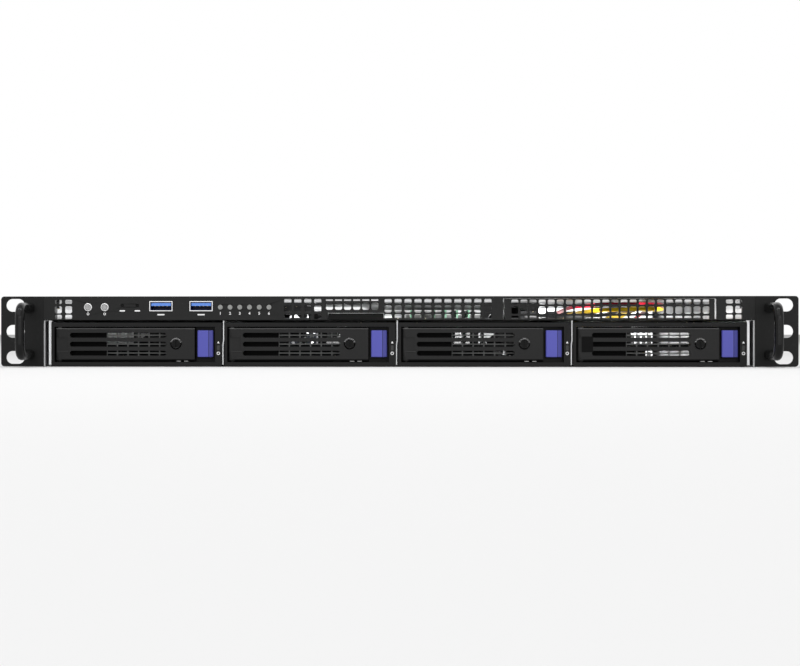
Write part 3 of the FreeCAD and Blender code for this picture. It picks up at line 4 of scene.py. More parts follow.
import bpy
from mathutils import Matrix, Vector


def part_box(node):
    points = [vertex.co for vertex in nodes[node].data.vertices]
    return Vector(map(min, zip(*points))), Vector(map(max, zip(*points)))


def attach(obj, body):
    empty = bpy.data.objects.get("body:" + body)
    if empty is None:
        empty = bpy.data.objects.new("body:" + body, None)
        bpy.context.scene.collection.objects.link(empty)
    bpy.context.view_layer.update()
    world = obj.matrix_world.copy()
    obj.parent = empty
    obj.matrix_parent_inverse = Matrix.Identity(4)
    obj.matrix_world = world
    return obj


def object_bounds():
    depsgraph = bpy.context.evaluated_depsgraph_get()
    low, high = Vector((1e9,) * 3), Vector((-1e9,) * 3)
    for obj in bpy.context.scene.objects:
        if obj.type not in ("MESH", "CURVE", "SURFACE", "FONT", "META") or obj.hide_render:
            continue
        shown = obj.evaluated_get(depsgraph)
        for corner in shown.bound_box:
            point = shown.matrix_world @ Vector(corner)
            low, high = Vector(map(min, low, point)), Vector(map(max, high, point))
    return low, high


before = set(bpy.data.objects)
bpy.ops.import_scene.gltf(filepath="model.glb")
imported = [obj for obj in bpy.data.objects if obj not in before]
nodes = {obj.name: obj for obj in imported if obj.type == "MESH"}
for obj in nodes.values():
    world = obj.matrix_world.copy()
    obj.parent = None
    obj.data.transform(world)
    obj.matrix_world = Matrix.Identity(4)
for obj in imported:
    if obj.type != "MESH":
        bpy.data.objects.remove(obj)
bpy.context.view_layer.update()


# ---- Floor, backdrop, lamps and camera ----
# The server rests on a plain white floor in a white surround. Large overhead lamps and a low
# front lamp light the face; lamps under the cover show the space behind the punched strip.

class Finish:
    """One material, its nodes and its surface shader."""

    def __init__(self, name, metal=0.0, gloss=0.5):
        self.material = bpy.data.materials.new(name)
        self.material.use_nodes = True
        self.tree = self.material.node_tree
        self.surface = self.tree.nodes["Principled BSDF"]
        self.surface.inputs["Metallic"].default_value = metal
        self.surface.inputs["Specular IOR Level"].default_value = gloss

    def node(self, kind, settings=None, values=None, out=0):
        """Add a node, set it up, fill or link its sockets and give back one output."""
        made = self.tree.nodes.new(kind)
        for key, value in (settings or {}).items():
            setattr(made, key, value)
        for key, value in (values or {}).items():
            if isinstance(value, Value):
                self.tree.links.new(value.socket, made.inputs[key])
            else:
                made.inputs[key].default_value = value
        return Value(self, made.outputs[out])

    def place(self):
        """Object coordinates, which are the server's own metres."""
        return self.node("ShaderNodeTexCoord", out="Object")

    def axis(self, letter):
        """One of the object coordinates."""
        return self.node("ShaderNodeSeparateXYZ", values={0: self.place()}, out="XYZ".index(letter))

    def noise(self, scale, detail=4.0, stretch=(1, 1, 1)):
        """Soft noise over the piece, stretched along its axes."""
        vector = self.node("ShaderNodeMapping", values={0: self.place(), "Scale": stretch})
        return self.node("ShaderNodeTexNoise",
                         values={"Vector": vector, "Scale": scale, "Detail": detail, "Roughness": 0.5})

    def mix(self, factor, first, second):
        """Blend of two colours."""
        return self.node("ShaderNodeMix", {"data_type": "RGBA"}, {0: factor, 6: first, 7: second}, out=2)

    def set(self, socket, value):
        """Give the surface a value or a link."""
        if isinstance(value, Value):
            self.tree.links.new(value.socket, self.surface.inputs[socket])
        else:
            self.surface.inputs[socket].default_value = value

    def bump(self, height, strength, distance=0.0002):
        """Relief from a height."""
        normal = self.node("ShaderNodeBump", values={"Height": height, "Strength": strength,
                                                     "Distance": distance})
        self.set("Normal", normal)


class Value:
    """A shader socket that takes part in sums."""

    def __init__(self, finish, socket):
        self.finish = finish
        self.socket = socket

    def maths(self, operation, first, second=0.0):
        """One Math node on two values."""
        return self.finish.node("ShaderNodeMath", {"operation": operation}, {0: first, 1: second})

    def __add__(self, other):
        return self.maths("ADD", self, other)

    __radd__ = __add__

    def __mul__(self, other):
        return self.maths("MULTIPLY", self, other)

    __rmul__ = __mul__

    def __sub__(self, other):
        return self.maths("SUBTRACT", self, other)

    def __rsub__(self, other):
        return self.maths("SUBTRACT", other, self)

    def above(self, level):
        """One where the value is over a level."""
        return self.maths("GREATER_THAN", self, level)

    def below(self, level):
        """One where the value is under a level."""
        return self.maths("LESS_THAN", self, level)

    def root(self):
        """Square root."""
        return self.maths("SQRT", self)

    def sine(self):
        """Sine of an angle."""
        return self.maths("SINE", self)

    def folded(self, half):
        """Distance to the nearest whole step of twice a half."""
        return self.maths("PINGPONG", self, half)

    def within(self, span):
        """What is left over after whole spans."""
        return self.maths("FLOORED_MODULO", self, span)

    def clamped(self):
        """The value held between nought and one."""
        return self.finish.node("ShaderNodeClamp", values={0: self})


def grey(level):
    """Neutral colour."""
    return (level, level, level, 1.0)


FLOOR_SIZE = 30
FLOOR_CLEAR = 0.0002
FLOOR_WHITE = 0.785


def make_floor():
    """White floor that keeps the server's shadow."""
    bpy.ops.object.select_all(action="DESELECT")
    floor_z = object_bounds()[0].z - FLOOR_CLEAR
    bpy.ops.mesh.primitive_plane_add(size=FLOOR_SIZE, location=(0, 0, floor_z))
    floor = bpy.context.object
    floor.name = "floor"
    finish = Finish("floor_white", gloss=0.0)
    finish.set("Base Color", grey(FLOOR_WHITE))
    finish.set("Roughness", finish.noise(3.0) * 0.1 + 0.85)
    floor.data.materials.append(finish.material)


WORLD_SEEN = 1.0
WORLD_LIGHT = 0.55


def make_surround():
    """White world to the eye and in reflections, softer as a light."""
    world = bpy.data.worlds.new("surround")
    bpy.context.scene.world = world
    world.use_nodes = True
    tree = world.node_tree
    back = tree.nodes["Background"]
    back.inputs["Color"].default_value = grey(1.0)
    path = tree.nodes.new("ShaderNodeLightPath")
    seen = path.outputs["Is Camera Ray"]
    for other in ("Is Glossy Ray", "Is Transmission Ray"):
        either = tree.nodes.new("ShaderNodeMath")
        either.operation = "MAXIMUM"
        tree.links.new(seen, either.inputs[0])
        tree.links.new(path.outputs[other], either.inputs[1])
        seen = either.outputs[0]
    level = tree.nodes.new("ShaderNodeMapRange")
    level.inputs["To Min"].default_value = WORLD_LIGHT
    level.inputs["To Max"].default_value = WORLD_SEEN
    tree.links.new(seen, level.inputs["Value"])
    tree.links.new(level.outputs["Result"], back.inputs["Strength"])


def lamp(name, place, aim, size, power, spread=180):
    """Soft lamp that faces a point and isn't seen itself."""
    data = bpy.data.lights.new(name, "AREA")
    data.shape = "RECTANGLE"
    data.size, data.size_y = size
    data.energy = power
    data.spread = math.radians(spread)
    made = bpy.data.objects.new(name, data)
    bpy.context.scene.collection.objects.link(made)
    made.location = place
    made.visible_camera = False
    made.rotation_euler = (Vector(aim) - Vector(place)).to_track_quat("-Z", "Y").to_euler()


make_floor()
make_surround()
lamp("lamp_top_front", place=(-0.5, -1.3, 1.5), aim=(0, 0, 0), size=(3.0, 1.8), power=17)
lamp("lamp_top_back", place=(0.6, 1.6, 1.6), aim=(0, 0.3, 0), size=(2.4, 1.8), power=13)
lamp("lamp_front", place=(0.5, -2.2, 0.35), aim=(0, 0, 0), size=(2.8, 0.7), power=10)
lamp("lamp_overhead", place=(0, -0.30, 1.0), aim=(0, -0.05, 0), size=(1.3, 0.10), power=4)

# Inside the case, flat lamps over the cage and the main board face up to the cover, two light the side
# walls, one shines back on the wires and one on the fans and the board.
roof_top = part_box("drive_cage")[1].z
lamp("lamp_over_cage", place=(0, 0.13, roof_top + 0.001), aim=(0, 0.1301, 1), size=(0.424, 0.12),
     power=0.27)
for side in (-1, 1):
    lamp(f"lamp_wall_{side}", place=(side * 0.203, 0.10, 0.014), aim=(side * 0.215, 0.10, 0.014),
         size=(0.14, 0.010), power=0.006)
lamp("lamp_wires", place=(0.13, 0.018, 0.0135), aim=(0.13, 0.2, 0.011), size=(0.13, 0.008), power=0.05)
lamp("lamp_inside", place=(0.02, 0.26, 0.002), aim=(0.02, 1.0, 0.002), size=(0.36, 0.026), power=0.30,
     spread=80)
lamp("lamp_inside_back", place=(-0.066, 0.53, 0.0155), aim=(-0.066, 0.5301, 1), size=(0.072, 0.20),
     power=0.10)

SENSOR_WIDTH = 36.0
CAMERA_LENS = 85.8
CAMERA_SHIFT = (0.08, -0.001)
CAMERA_PLACE = (0.005, -1.157, -0.0005)
CAMERA_TURN = 2.076
scene = bpy.context.scene
scene.view_settings.view_transform = "Standard"
eye = bpy.data.cameras.new("camera")
eye.sensor_width = SENSOR_WIDTH
eye.lens = CAMERA_LENS
eye.shift_x, eye.shift_y = CAMERA_SHIFT
camera = bpy.data.objects.new("camera", eye)
scene.collection.objects.link(camera)
camera.location = CAMERA_PLACE
camera.rotation_euler = (math.radians(90), 0, math.radians(CAMERA_TURN))
scene.camera = camera


# ---- Chassis, rear wall, cover and cage: zinc-coated steel ----
# Folded from one-millimetre sheet. The zinc has faint crystal patches and fine rolling lines,
# and every punched or folded edge is slightly broken.

ZINC_METAL = 0.9
HOLE_SHARE = 0.36
RIM_SHADE_BLACK = 0.004
HOLE_SHADE_BLACK = 0.003
WELD_WITHIN = 0.000005
EDGE_STEPS = 2


def zinc(name, tone, rough, shade_black_to=None, holes=None, grazing=1.0):
    """Zinc-coated sheet with crystals, rolling lines and smears.

    Where asked, it is coloured near black in front of a depth and below a height as painted shade, or has
    a field of small dark holes painted as painted shade (their pitch, the depth in front of which they lie
    and their top), or mirrors less at a grazing angle.
    """
    finish = Finish(name, metal=ZINC_METAL)
    finish.set("Specular Tint", grey(grazing))
    cells = finish.node("ShaderNodeTexVoronoi", {"feature": "SMOOTH_F1"},
                        {"Vector": finish.place(), "Scale": 160.0, "Smoothness": 0.35}, out="Color")
    patch = finish.node("ShaderNodeSeparateColor", values={0: cells})
    lines = finish.noise(60.0, 3.0, (40, 1.2, 40))
    smear = finish.noise(14.0, 5.0)
    shade = (patch * 0.16 + lines * 0.10 + smear * 0.16).clamped()
    sheet = finish.mix(shade, grey(tone), (tone * 0.66, tone * 0.70, tone * 0.74, 1))
    if shade_black_to:
        # Painted shade: in front of a depth and below a height the sheet turns near black and loses its
        # metal.
        rim = (finish.axis("Y").below(shade_black_to[0]) + finish.axis("Z").below(shade_black_to[1])).clamped()
        sheet = finish.mix(rim, sheet, grey(RIM_SHADE_BLACK))
        finish.set("Metallic", ZINC_METAL - rim * ZINC_METAL)
    if holes:
        # Painted shade: dark dots without metal stand in for the shaded insides of punched holes.
        pitch, front, top = holes
        across = finish.axis("X").folded(pitch / 2)
        upright = finish.axis("Z").folded(pitch / 2)
        hole = (across * across + upright * upright).root().below(pitch * HOLE_SHARE)
        hole = hole * finish.axis("Y").below(front) * finish.axis("Z").below(top)
        sheet = finish.mix(hole, sheet, grey(HOLE_SHADE_BLACK))
        finish.set("Metallic", ZINC_METAL - hole * ZINC_METAL)
    finish.set("Base Color", sheet)
    finish.set("Roughness", patch * 0.10 + smear * 0.16 + (rough - 0.12))
    finish.bump(lines + patch * 0.4, 0.10, 0.00006)
    return finish.material


def dress(node, material, edge=0.0, angle=38, hard=False):
    """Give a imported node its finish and, where asked, softly broken edges beside flat faces."""
    piece = nodes[node]
    piece.data.materials.clear()
    piece.data.materials.append(material)
    if edge:
        weld = piece.modifiers.new("weld", "WELD")
        weld.merge_threshold = WELD_WITHIN
        soft = piece.modifiers.new("edge", "BEVEL")
        soft.width = edge
        soft.segments = EDGE_STEPS
        soft.limit_method = "ANGLE"
        soft.angle_limit = math.radians(angle)
        soft.harden_normals = hard
    return piece


chassis_zinc = zinc("chassis_zinc", 0.46, 0.40)
inner_zinc = zinc("inner_zinc", 0.80, 0.50)
dress("chassis_base", chassis_zinc, edge=0.00015)
dress("board_standoffs", chassis_zinc, edge=0.0002)
dress("rear_panel", zinc("rear_zinc", 0.44, 0.42), edge=0.00015)
dress("top_cover", zinc("cover_zinc", 0.46, 0.40, grazing=0.55), edge=0.0003)
# The riser bracket's zinc is much darker than the rest: painted shade for the space seen behind the
# strip's vents.
dress("riser_bracket", zinc("riser_shade_zinc", 0.22, 0.5), edge=0.00015)
# The supply's front carries a field of painted dark dots: painted shade standing in for its vent holes.
SUPPLY_HOLE_PITCH = 0.0046
SUPPLY_HOLES_DEEP = 0.0002
SUPPLY_HOLES_TOP = 0.0010
supply_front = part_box("psu_case")[0].y
supply_hole_shade = (SUPPLY_HOLE_PITCH, supply_front + SUPPLY_HOLES_DEEP, SUPPLY_HOLES_TOP)
dress("psu_case", zinc("supply_zinc", 0.66, 0.42, holes=supply_hole_shade), edge=0.0005)
# The roof's front edge and underside are coloured near black as painted shade, for the dark band between
# the strip and the trays.
ROOF_SHADE_DEEP = 0.0006
ROOF_FACE_THICK = 0.0004
roof_painted_shade = (ROOF_SHADE_DEEP, roof_top - ROOF_FACE_THICK)
dress("drive_cage", zinc("roof_zinc", 0.80, 0.50, shade_black_to=roof_painted_shade), edge=0.00012)
dress("cage_walls", inner_zinc, edge=0.00012)


# ---- Front strip, roof, vent insert, ears and trays: powder-coated black steel ----
# The coat is a fine orange-peel black with a low sheen. It is thin on the rims of the punched
# squares, which catch the light, and dust lies in its hollows.

def powder_coat(name, tone, rough, grain, gloss):
    """Black powder coat: fine peel, dust in the hollows and a slight sheen."""
    finish = Finish(name, gloss=gloss)
    peel = finish.noise(grain, 2.0)
    cloud = finish.noise(9.0, 4.0)
    speck = finish.noise(grain * 0.35, 1.0).above(0.69)
    shade = (cloud * 0.5 + speck * 0.5 + peel * 0.2).clamped()
    finish.set("Base Color", finish.mix(shade, grey(tone), (tone * 2.2, tone * 2.25, tone * 2.2, 1)))
    finish.set("Roughness", cloud * 0.14 + peel * 0.10 + (rough - 0.1))
    finish.bump(peel, 0.30, 0.00004)
    return finish.material


strip_coat = powder_coat("strip_coat", tone=0.0075, rough=0.46, grain=2600.0, gloss=0.17)
ear_coat = powder_coat("ear_coat", tone=0.006, rough=0.44, grain=2200.0, gloss=0.14)
handle_coat = powder_coat("handle_coat", tone=0.002, rough=0.17, grain=1500.0, gloss=0.20)
tray_coat = powder_coat("tray_coat", tone=0.006, rough=0.5, grain=2200.0, gloss=0.18)
trays = [str(number) for number in range(1, 5)]
dress("front_panel", strip_coat, edge=0.00018, hard=True)
dress("front_vent_insert", strip_coat, edge=0.00018)
tag_coat = powder_coat("tag_coat", tone=0.0025, rough=0.5, grain=2600.0, gloss=0.10)
dress("service_tag", tag_coat, edge=0.00018)
dress("front_roof", strip_coat, edge=0.0003)
dress("left_ear", ear_coat, edge=0.0003)
dress("right_ear", ear_coat, edge=0.0003)
dress("handles", handle_coat, edge=0.0014, angle=30)
for bay in trays:
    dress("tray_" + bay, tray_coat, edge=0.00012)


# ---- Tray fronts and levers: grained black plastic ----
# Injection-moulded in a stiff black plastic with an even spark-eroded grain. The lever's long front edges
# are chamfered and catch the light, and a paler band along the lever's top edge is a painted highlight;
# the lock barrel is smoother.

def grained_plastic(name, tone, rough, grain=3200.0, gloss=0.28, highlight_from=None):
    """Moulded black plastic with an eroded grain and, where asked, a painted highlight: paler above a
    height.
    """
    finish = Finish(name, gloss=gloss)
    grains = finish.node("ShaderNodeTexVoronoi", {"feature": "F1"},
                         {"Vector": finish.place(), "Scale": grain}, out="Distance")
    cloud = finish.noise(30.0, 3.0)
    shade = (cloud * 0.6 + grains * 0.3).clamped()
    face = finish.mix(shade, grey(tone), grey(tone * 1.9))
    if highlight_from:
        # Painted highlight: above the height the face turns much paler, unevenly.
        painted_highlight = finish.axis("Z").above(highlight_from) * (cloud * 0.6 + 0.5)
        face = finish.mix(painted_highlight.clamped(), face, grey(tone * 14))
    finish.set("Base Color", face)
    finish.set("Roughness", cloud * 0.12 + grains * 0.08 + (rough - 0.08))
    finish.bump(grains, 0.25, 0.00004)
    return finish.material


# Height above which the lever's top edge carries a painted highlight.
LEVER_HIGHLIGHT_FROM = 0.00145
tray_plastic = grained_plastic("tray_plastic", 0.0055, 0.42, gloss=0.14)
lever_plastic = grained_plastic("lever_plastic", 0.0075, 0.44, grain=2600.0, gloss=0.18,
                                highlight_from=LEVER_HIGHLIGHT_FROM)
lock_plastic = grained_plastic("lock_plastic", 0.002, 0.30, grain=4000.0, gloss=0.10)
for bay in trays:
    dress("tray_bezel_" + bay, tray_plastic, edge=0.0002)
    dress("tray_lever_" + bay, lever_plastic, edge=0.0004, angle=30)
    dress("tray_lock_" + bay, lock_plastic, edge=0.0002)


# ---- Tray release buttons: violet-blue plastic ----
# Satin mouldings, coloured right through, that a finger pushes into the bezel beside the lever. An upright
# crease runs down each at seven tenths of its width; a darker line at it and the darker face right of it
# are painted shade.

CREASE_AT = 0.70
CREASE_SHADE_WIDE = 0.0004


def coloured_plastic(name, colour, rough, coat=0.0, gloss=0.4, crease_shade=None):
    """Solid-coloured smooth plastic with faint flow marks.

    Where asked, it carries painted shade: a dark line and a darker face beyond it. The tuple gives the
    first bay's left side, the pitch of the bays and the fold's distance from that side.
    """
    finish = Finish(name, gloss=gloss)
    flow = finish.noise(45.0, 3.0, (1, 1, 0.4))
    fine = finish.noise(2400.0, 2.0)
    deep = tuple(c * 0.82 for c in colour[:3]) + (1.0,)
    face = finish.mix(flow, deep, colour)
    if crease_shade:
        # Painted shade: the face right of the crease is darkened, and more so along a thin line at the
        # crease.
        across = (finish.axis("X") - crease_shade[0]).within(crease_shade[1])
        side = across.above(crease_shade[2])
        crease_shade_line = side - across.above(crease_shade[2] + CREASE_SHADE_WIDE)
        face = finish.mix((side * 0.30 + crease_shade_line * 0.45).clamped(), face, grey(0.0))
    finish.set("Base Color", face)
    finish.set("Roughness", flow * 0.10 + fine * 0.06 + (rough - 0.08))
    finish.bump(fine, 0.12, 0.00003)
    finish.surface.inputs["Coat Weight"].default_value = coat
    return finish.material


release_low, release_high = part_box("tray_release_1")
bay_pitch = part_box("tray_release_2")[0].x - release_low.x
release_crease_shade = (release_low.x, bay_pitch, (release_high.x - release_low.x) * CREASE_AT)
release_blue = coloured_plastic("release_blue", (0.094, 0.098, 0.43, 1.0), 0.42, gloss=0.25,
                                crease_shade=release_crease_shade)
for bay in trays:
    dress("tray_release_" + bay, release_blue, edge=0.0014, angle=14)


# ---- Grille behind each lever ----
# A black plate clips into the bezel's window behind the lever. It is closed on the left, and its
# opening holds a thin punched grille of dull grey steel, which shows through the lever's vents.

GRILLE_COLUMNS = 6
GRILLE_PITCH = 0.0065
GRILLE_ROW = 0.002725
GRILLE_ROWS = 6
GRILLE_BAR = 0.0008
GRILLE_THICK = 0.0005
GRILLE_MIDDLE_Z = -0.0078
GRILLE_FROM_LOCK = 0.0020
PLATE_FRONT = 0.0060
PLATE_THICK = 0.0010
PLATE_CLEAR = 0.00003
PLATE_EDGE = 0.00015
PLATE_FROM_RELEASE = 0.0006
WINDOW_LEFT = 0.0018
WINDOW_BELOW = 0.0024
WINDOW_ABOVE = 0.0025
CUT_PAST = 0.001
UPRIGHT = (math.radians(90), 0, 0)


def settle(piece, name, material, body):
    """Put a finished piece's place in its mesh, name it, coat it and seat it on its body."""
    bpy.ops.object.select_all(action="DESELECT")
    piece.select_set(True)
    bpy.context.view_layer.objects.active = piece
    for modifier in list(piece.modifiers):
        bpy.ops.object.modifier_apply(modifier=modifier.name)
    bpy.ops.object.transform_apply(location=True, rotation=True, scale=True)
    piece.name = name
    piece.data.materials.clear()
    piece.data.materials.append(material)
    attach(piece, body)
    return piece


def twin(piece, name, shift, body):
    """Copy of a finished piece with its own mesh, moved in its mesh."""
    bpy.ops.object.select_all(action="DESELECT")
    copy = bpy.data.objects.new(name, piece.data.copy())
    bpy.context.scene.collection.objects.link(copy)
    copy.select_set(True)
    bpy.context.view_layer.objects.active = copy
    copy.location = shift
    bpy.ops.object.transform_apply(location=True, rotation=False, scale=False)
    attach(copy, body)
    return copy


def softened(piece, width, segments=2, angle=30):
    """Rounded edges, left live for settle to apply."""
    soft = piece.modifiers.new("soft", "BEVEL")
    soft.width = width
    soft.segments = segments
    soft.limit_method = "ANGLE"
    soft.angle_limit = math.radians(angle)
    return piece


def make_block(low, high):
    """Box between two corners."""
    bpy.ops.object.select_all(action="DESELECT")
    bpy.ops.mesh.primitive_cube_add(size=1, location=(low + high) / 2)
    block = bpy.context.object
    block.scale = high - low
    bpy.ops.object.transform_apply(location=False, rotation=False, scale=True)
    return block


def carve(piece, cutter):
    """Cut one piece by another, which is then dropped."""
    bpy.ops.object.select_all(action="DESELECT")
    piece.select_set(True)
    bpy.context.view_layer.objects.active = piece
    cut = piece.modifiers.new("cut", "BOOLEAN")
    cut.operation = "DIFFERENCE"
    cut.object = cutter
    bpy.ops.object.modifier_apply(modifier=cut.name)
    bpy.data.objects.remove(cutter)


def make_plate(low, high, gaps):
    """Upright plate between two corners with square openings cut through it."""
    plate = make_block(low, high)
    for gap_low, gap_high in gaps:
        past = Vector((0, CUT_PAST, 0))
        carve(plate, make_block(gap_low - past, gap_high + past))
    return softened(plate, PLATE_EDGE, 1)


def make_grille(low, high, name):
    """Thin sheet between two corners, a hole in each of its cells."""
    bpy.ops.object.select_all(action="DESELECT")
    centre = ((low.x + high.x) / 2, high.y, (low.z + high.z) / 2)
    bpy.ops.mesh.primitive_grid_add(x_subdivisions=GRILLE_COLUMNS, y_subdivisions=GRILLE_ROWS, size=1,
                                    location=centre, rotation=UPRIGHT)
    grille = bpy.context.object
    grille.scale = (high.x - low.x, high.z - low.z, 1)
    bpy.ops.object.transform_apply(location=False, rotation=False, scale=True)
    bpy.ops.object.mode_set(mode="EDIT")
    bpy.ops.mesh.select_all(action="SELECT")
    bpy.ops.mesh.inset(thickness=GRILLE_BAR / 2, depth=0, use_individual=True)
    bpy.ops.mesh.delete(type="FACE")
    bpy.ops.object.mode_set(mode="OBJECT")
    thick = grille.modifiers.new("sheet", "SOLIDIFY")
    thick.thickness = GRILLE_THICK
    thick.offset = 1
    return settle(grille, name, grille_grey, "tray_1")


# The plate's near-black colour is painted shade for the dark space behind the lever's vents.
plate_black_shade = grained_plastic("plate_black_shade", 0.003, 0.6, gloss=0.08)
grille_grey = powder_coat("grille_grey", tone=0.20, rough=0.5, grain=2400.0, gloss=0.3)
bezel_low, bezel_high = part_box("tray_bezel_1")
plate_back = PLATE_FRONT + PLATE_THICK
plate_low = Vector((bezel_low.x + WINDOW_LEFT + PLATE_CLEAR, PLATE_FRONT,
                    bezel_low.z + WINDOW_BELOW + PLATE_CLEAR))
plate_high = Vector((release_low.x - PLATE_FROM_RELEASE, plate_back,
                     bezel_high.z - WINDOW_ABOVE - PLATE_CLEAR))
grille_half = GRILLE_ROW * GRILLE_ROWS / 2
grille_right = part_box("tray_lock_1")[0].x - GRILLE_FROM_LOCK
grille_left = grille_right - GRILLE_PITCH * GRILLE_COLUMNS
grille_low = Vector((grille_left, PLATE_FRONT, GRILLE_MIDDLE_Z - grille_half))
grille_high = Vector((grille_right, plate_back, GRILLE_MIDDLE_Z + grille_half))
first_plate = settle(make_plate(plate_low, plate_high, [(grille_low, grille_high)]), "grille_plate_1",
                     plate_black_shade, "tray_1")
first_grille = make_grille(grille_low, grille_high, "tray_grille_1")
for number in range(1, 4):
    shift = (bay_pitch * number, 0, 0)
    twin(first_plate, f"grille_plate_{number + 1}", shift, f"tray_{number + 1}")
    twin(first_grille, f"tray_grille_{number + 1}", shift, f"tray_{number + 1}")


# ---- Front buttons, switch pins and their marks ----
# Two short turned-metal buttons with a ring cut round the edge, and two thin pins sunk in their
# holes. The plain rings and dashes below them are white ink, printed on the strip.

BUTTON_EDGE = 0.0019
BUTTON_GROOVE = 0.0003
INK = 0.00004
MARK_DROP = 0.0041
MARK_OUT = 0.0008
MARK_IN = 0.00044
STROKE = (0.00035, 0.0010)
DASH_HIGH = 0.0008
PIN_DASH_WIDE = 0.0033
PIN_DASH_DROP = 0.0032
CORNER_SHARE = 0.3
CORNER_MOST = 0.001


def turned_metal(name, tone, centre):
    """Turned satin metal: fine rings, a dull middle, a cut ring darkened as painted shade and a rim
    lightened as a painted highlight.
    """
    finish = Finish(name, metal=0.85, gloss=0.4)
    across = finish.axis("X") - centre.x
    upright = finish.axis("Z") - centre.z
    reach = (across * across + upright * upright).root()
    rings = (reach * 26000.0).sine() * 0.5 + 0.5
    # Painted shade darkens the cut ring inside the edge, and a painted highlight lightens the rim outside
    # it.
    rim = reach.above(BUTTON_EDGE)
    groove_shade = reach.above(BUTTON_EDGE - BUTTON_GROOVE) - rim
    scuff = finish.noise(900.0, 4.0)
    shade = (rings * 0.25 + scuff * 0.55 + 0.15).clamped()
    face = finish.mix(shade, grey(tone), grey(tone * 0.42))
    face = finish.mix(groove_shade, face, grey(tone * 0.16))
    finish.set("Base Color", finish.mix(rim, face, grey(min(tone * 1.7, 0.9))))
    finish.set("Roughness", scuff * 0.2 + 0.3)
    finish.bump(rings + scuff, 0.25, 0.00004)
    return finish.material


def middle(node):
    """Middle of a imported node's box."""
    low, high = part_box(node)
    return (low + high) / 2


white_ink = coloured_plastic("white_ink", grey(0.86), 0.5, gloss=0.2)
strip_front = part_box("front_panel")[0].y


def ring_mark(name, place, outer, inner, body):
    """Printed ring."""
    bpy.ops.object.select_all(action="DESELECT")
    bpy.ops.mesh.primitive_circle_add(vertices=20, radius=outer, fill_type="NGON", location=place,
                                      rotation=UPRIGHT)
    mark = bpy.context.object
    bpy.ops.object.mode_set(mode="EDIT")
    bpy.ops.mesh.select_all(action="SELECT")
    bpy.ops.mesh.inset(thickness=outer - inner, depth=0)
    bpy.ops.mesh.delete(type="FACE")
    bpy.ops.object.mode_set(mode="OBJECT")
    ink = mark.modifiers.new("ink", "SOLIDIFY")
    ink.thickness = INK
    ink.offset = 1
    return settle(mark, name, white_ink, body)


def bar_mark(name, place, size, ink_finish, body):
    """Printed bar or thin label, its corners rounded."""
    bpy.ops.object.select_all(action="DESELECT")
    bpy.ops.mesh.primitive_plane_add(size=1, location=place, rotation=UPRIGHT)
    mark = bpy.context.object
    mark.scale = (*size, 1)
    bpy.ops.object.transform_apply(location=False, rotation=False, scale=True)
    bpy.ops.object.mode_set(mode="EDIT")
    bpy.ops.mesh.select_all(action="SELECT")
    corner = min(*size, CORNER_MOST) * CORNER_SHARE
    bpy.ops.mesh.bevel(offset=corner, segments=2, affect="VERTICES")
    bpy.ops.object.mode_set(mode="OBJECT")
    ink = mark.modifiers.new("ink", "SOLIDIFY")
    ink.thickness = INK
    ink.offset = 1
    return settle(mark, name, ink_finish, body)


for name in ("power_button", "identify_button"):
    centre = middle(name)
    dress(name, turned_metal(name + "_metal", 0.42, centre), edge=0.00005)
    ring_mark("mark_" + name, (centre.x, strip_front, centre.z - MARK_DROP), MARK_OUT, MARK_IN, "chassis")
centre = middle("power_button")
bar_mark("mark_power_stroke", (centre.x, strip_front, centre.z - MARK_DROP + MARK_OUT), STROKE, white_ink,
         "chassis")
pin_black = grained_plastic("pin_black", 0.004, 0.5, gloss=0.1)
for name in ("reset_pin", "interrupt_pin"):
    dress(name, pin_black, edge=0.0001)
    centre = middle(name)
    bar_mark("mark_" + name, (centre.x, strip_front, centre.z - PIN_DASH_DROP), (PIN_DASH_WIDE, DASH_HIGH),
             white_ink, "chassis")


# ---- Lamp lenses and their numbers ----
# Six frosted light pipes, pressed into the strip from behind and unlit. A plain number is printed in
# white ink below each.

LENSES = 6
NUMBER_DROP = 0.0037
NUMBER_SIZE = 0.0023
NUMBER_HALF = 0.36
NUMBER_BOLD = 0.00006


def frosted(name, colour):
    """Frosted unlit light pipe under a thin clear coat, clouded."""
    finish = Finish(name, gloss=0.4)
    cloud = finish.noise(700.0, 3.0)
    finish.set("Base Color", finish.mix(cloud, colour, tuple(c * 0.6 for c in colour[:3]) + (1.0,)))
    finish.set("Roughness", cloud * 0.25 + 0.3)
    finish.bump(cloud, 0.3, 0.00005)
    finish.surface.inputs["Coat Weight"].default_value = 0.2
    return finish.material


dress("lamp_lenses", frosted("lamp_lens", (0.27, 0.275, 0.265, 1.0)), edge=0.00025)
lens_low, lens_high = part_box("lamp_lenses")
lens_r = (lens_high.z - lens_low.z) / 2
lens_pitch = (lens_high.x - lens_low.x - 2 * lens_r) / (LENSES - 1)
for count in range(LENSES):
    bpy.ops.object.select_all(action="DESELECT")
    place = (lens_low.x + lens_r + count * lens_pitch, strip_front,
             lens_low.z + lens_r - NUMBER_DROP - NUMBER_SIZE * NUMBER_HALF)
    bpy.ops.object.text_add(location=place, rotation=UPRIGHT)
    number = bpy.context.object
    number.data.body = str(count + 1)
    number.data.size = NUMBER_SIZE
    number.data.align_x = "CENTER"
    number.data.extrude = INK
    number.data.offset = NUMBER_BOLD
    bpy.ops.object.convert(target="MESH")
    settle(bpy.context.object, f"lamp_number_{count + 1}", white_ink, "chassis")


# ---- Front sockets ----
# Mouths folded from plated sheet, each with a navy liner, a blue tongue and four gilt contacts. A plain
# white dash is printed under each mouth.

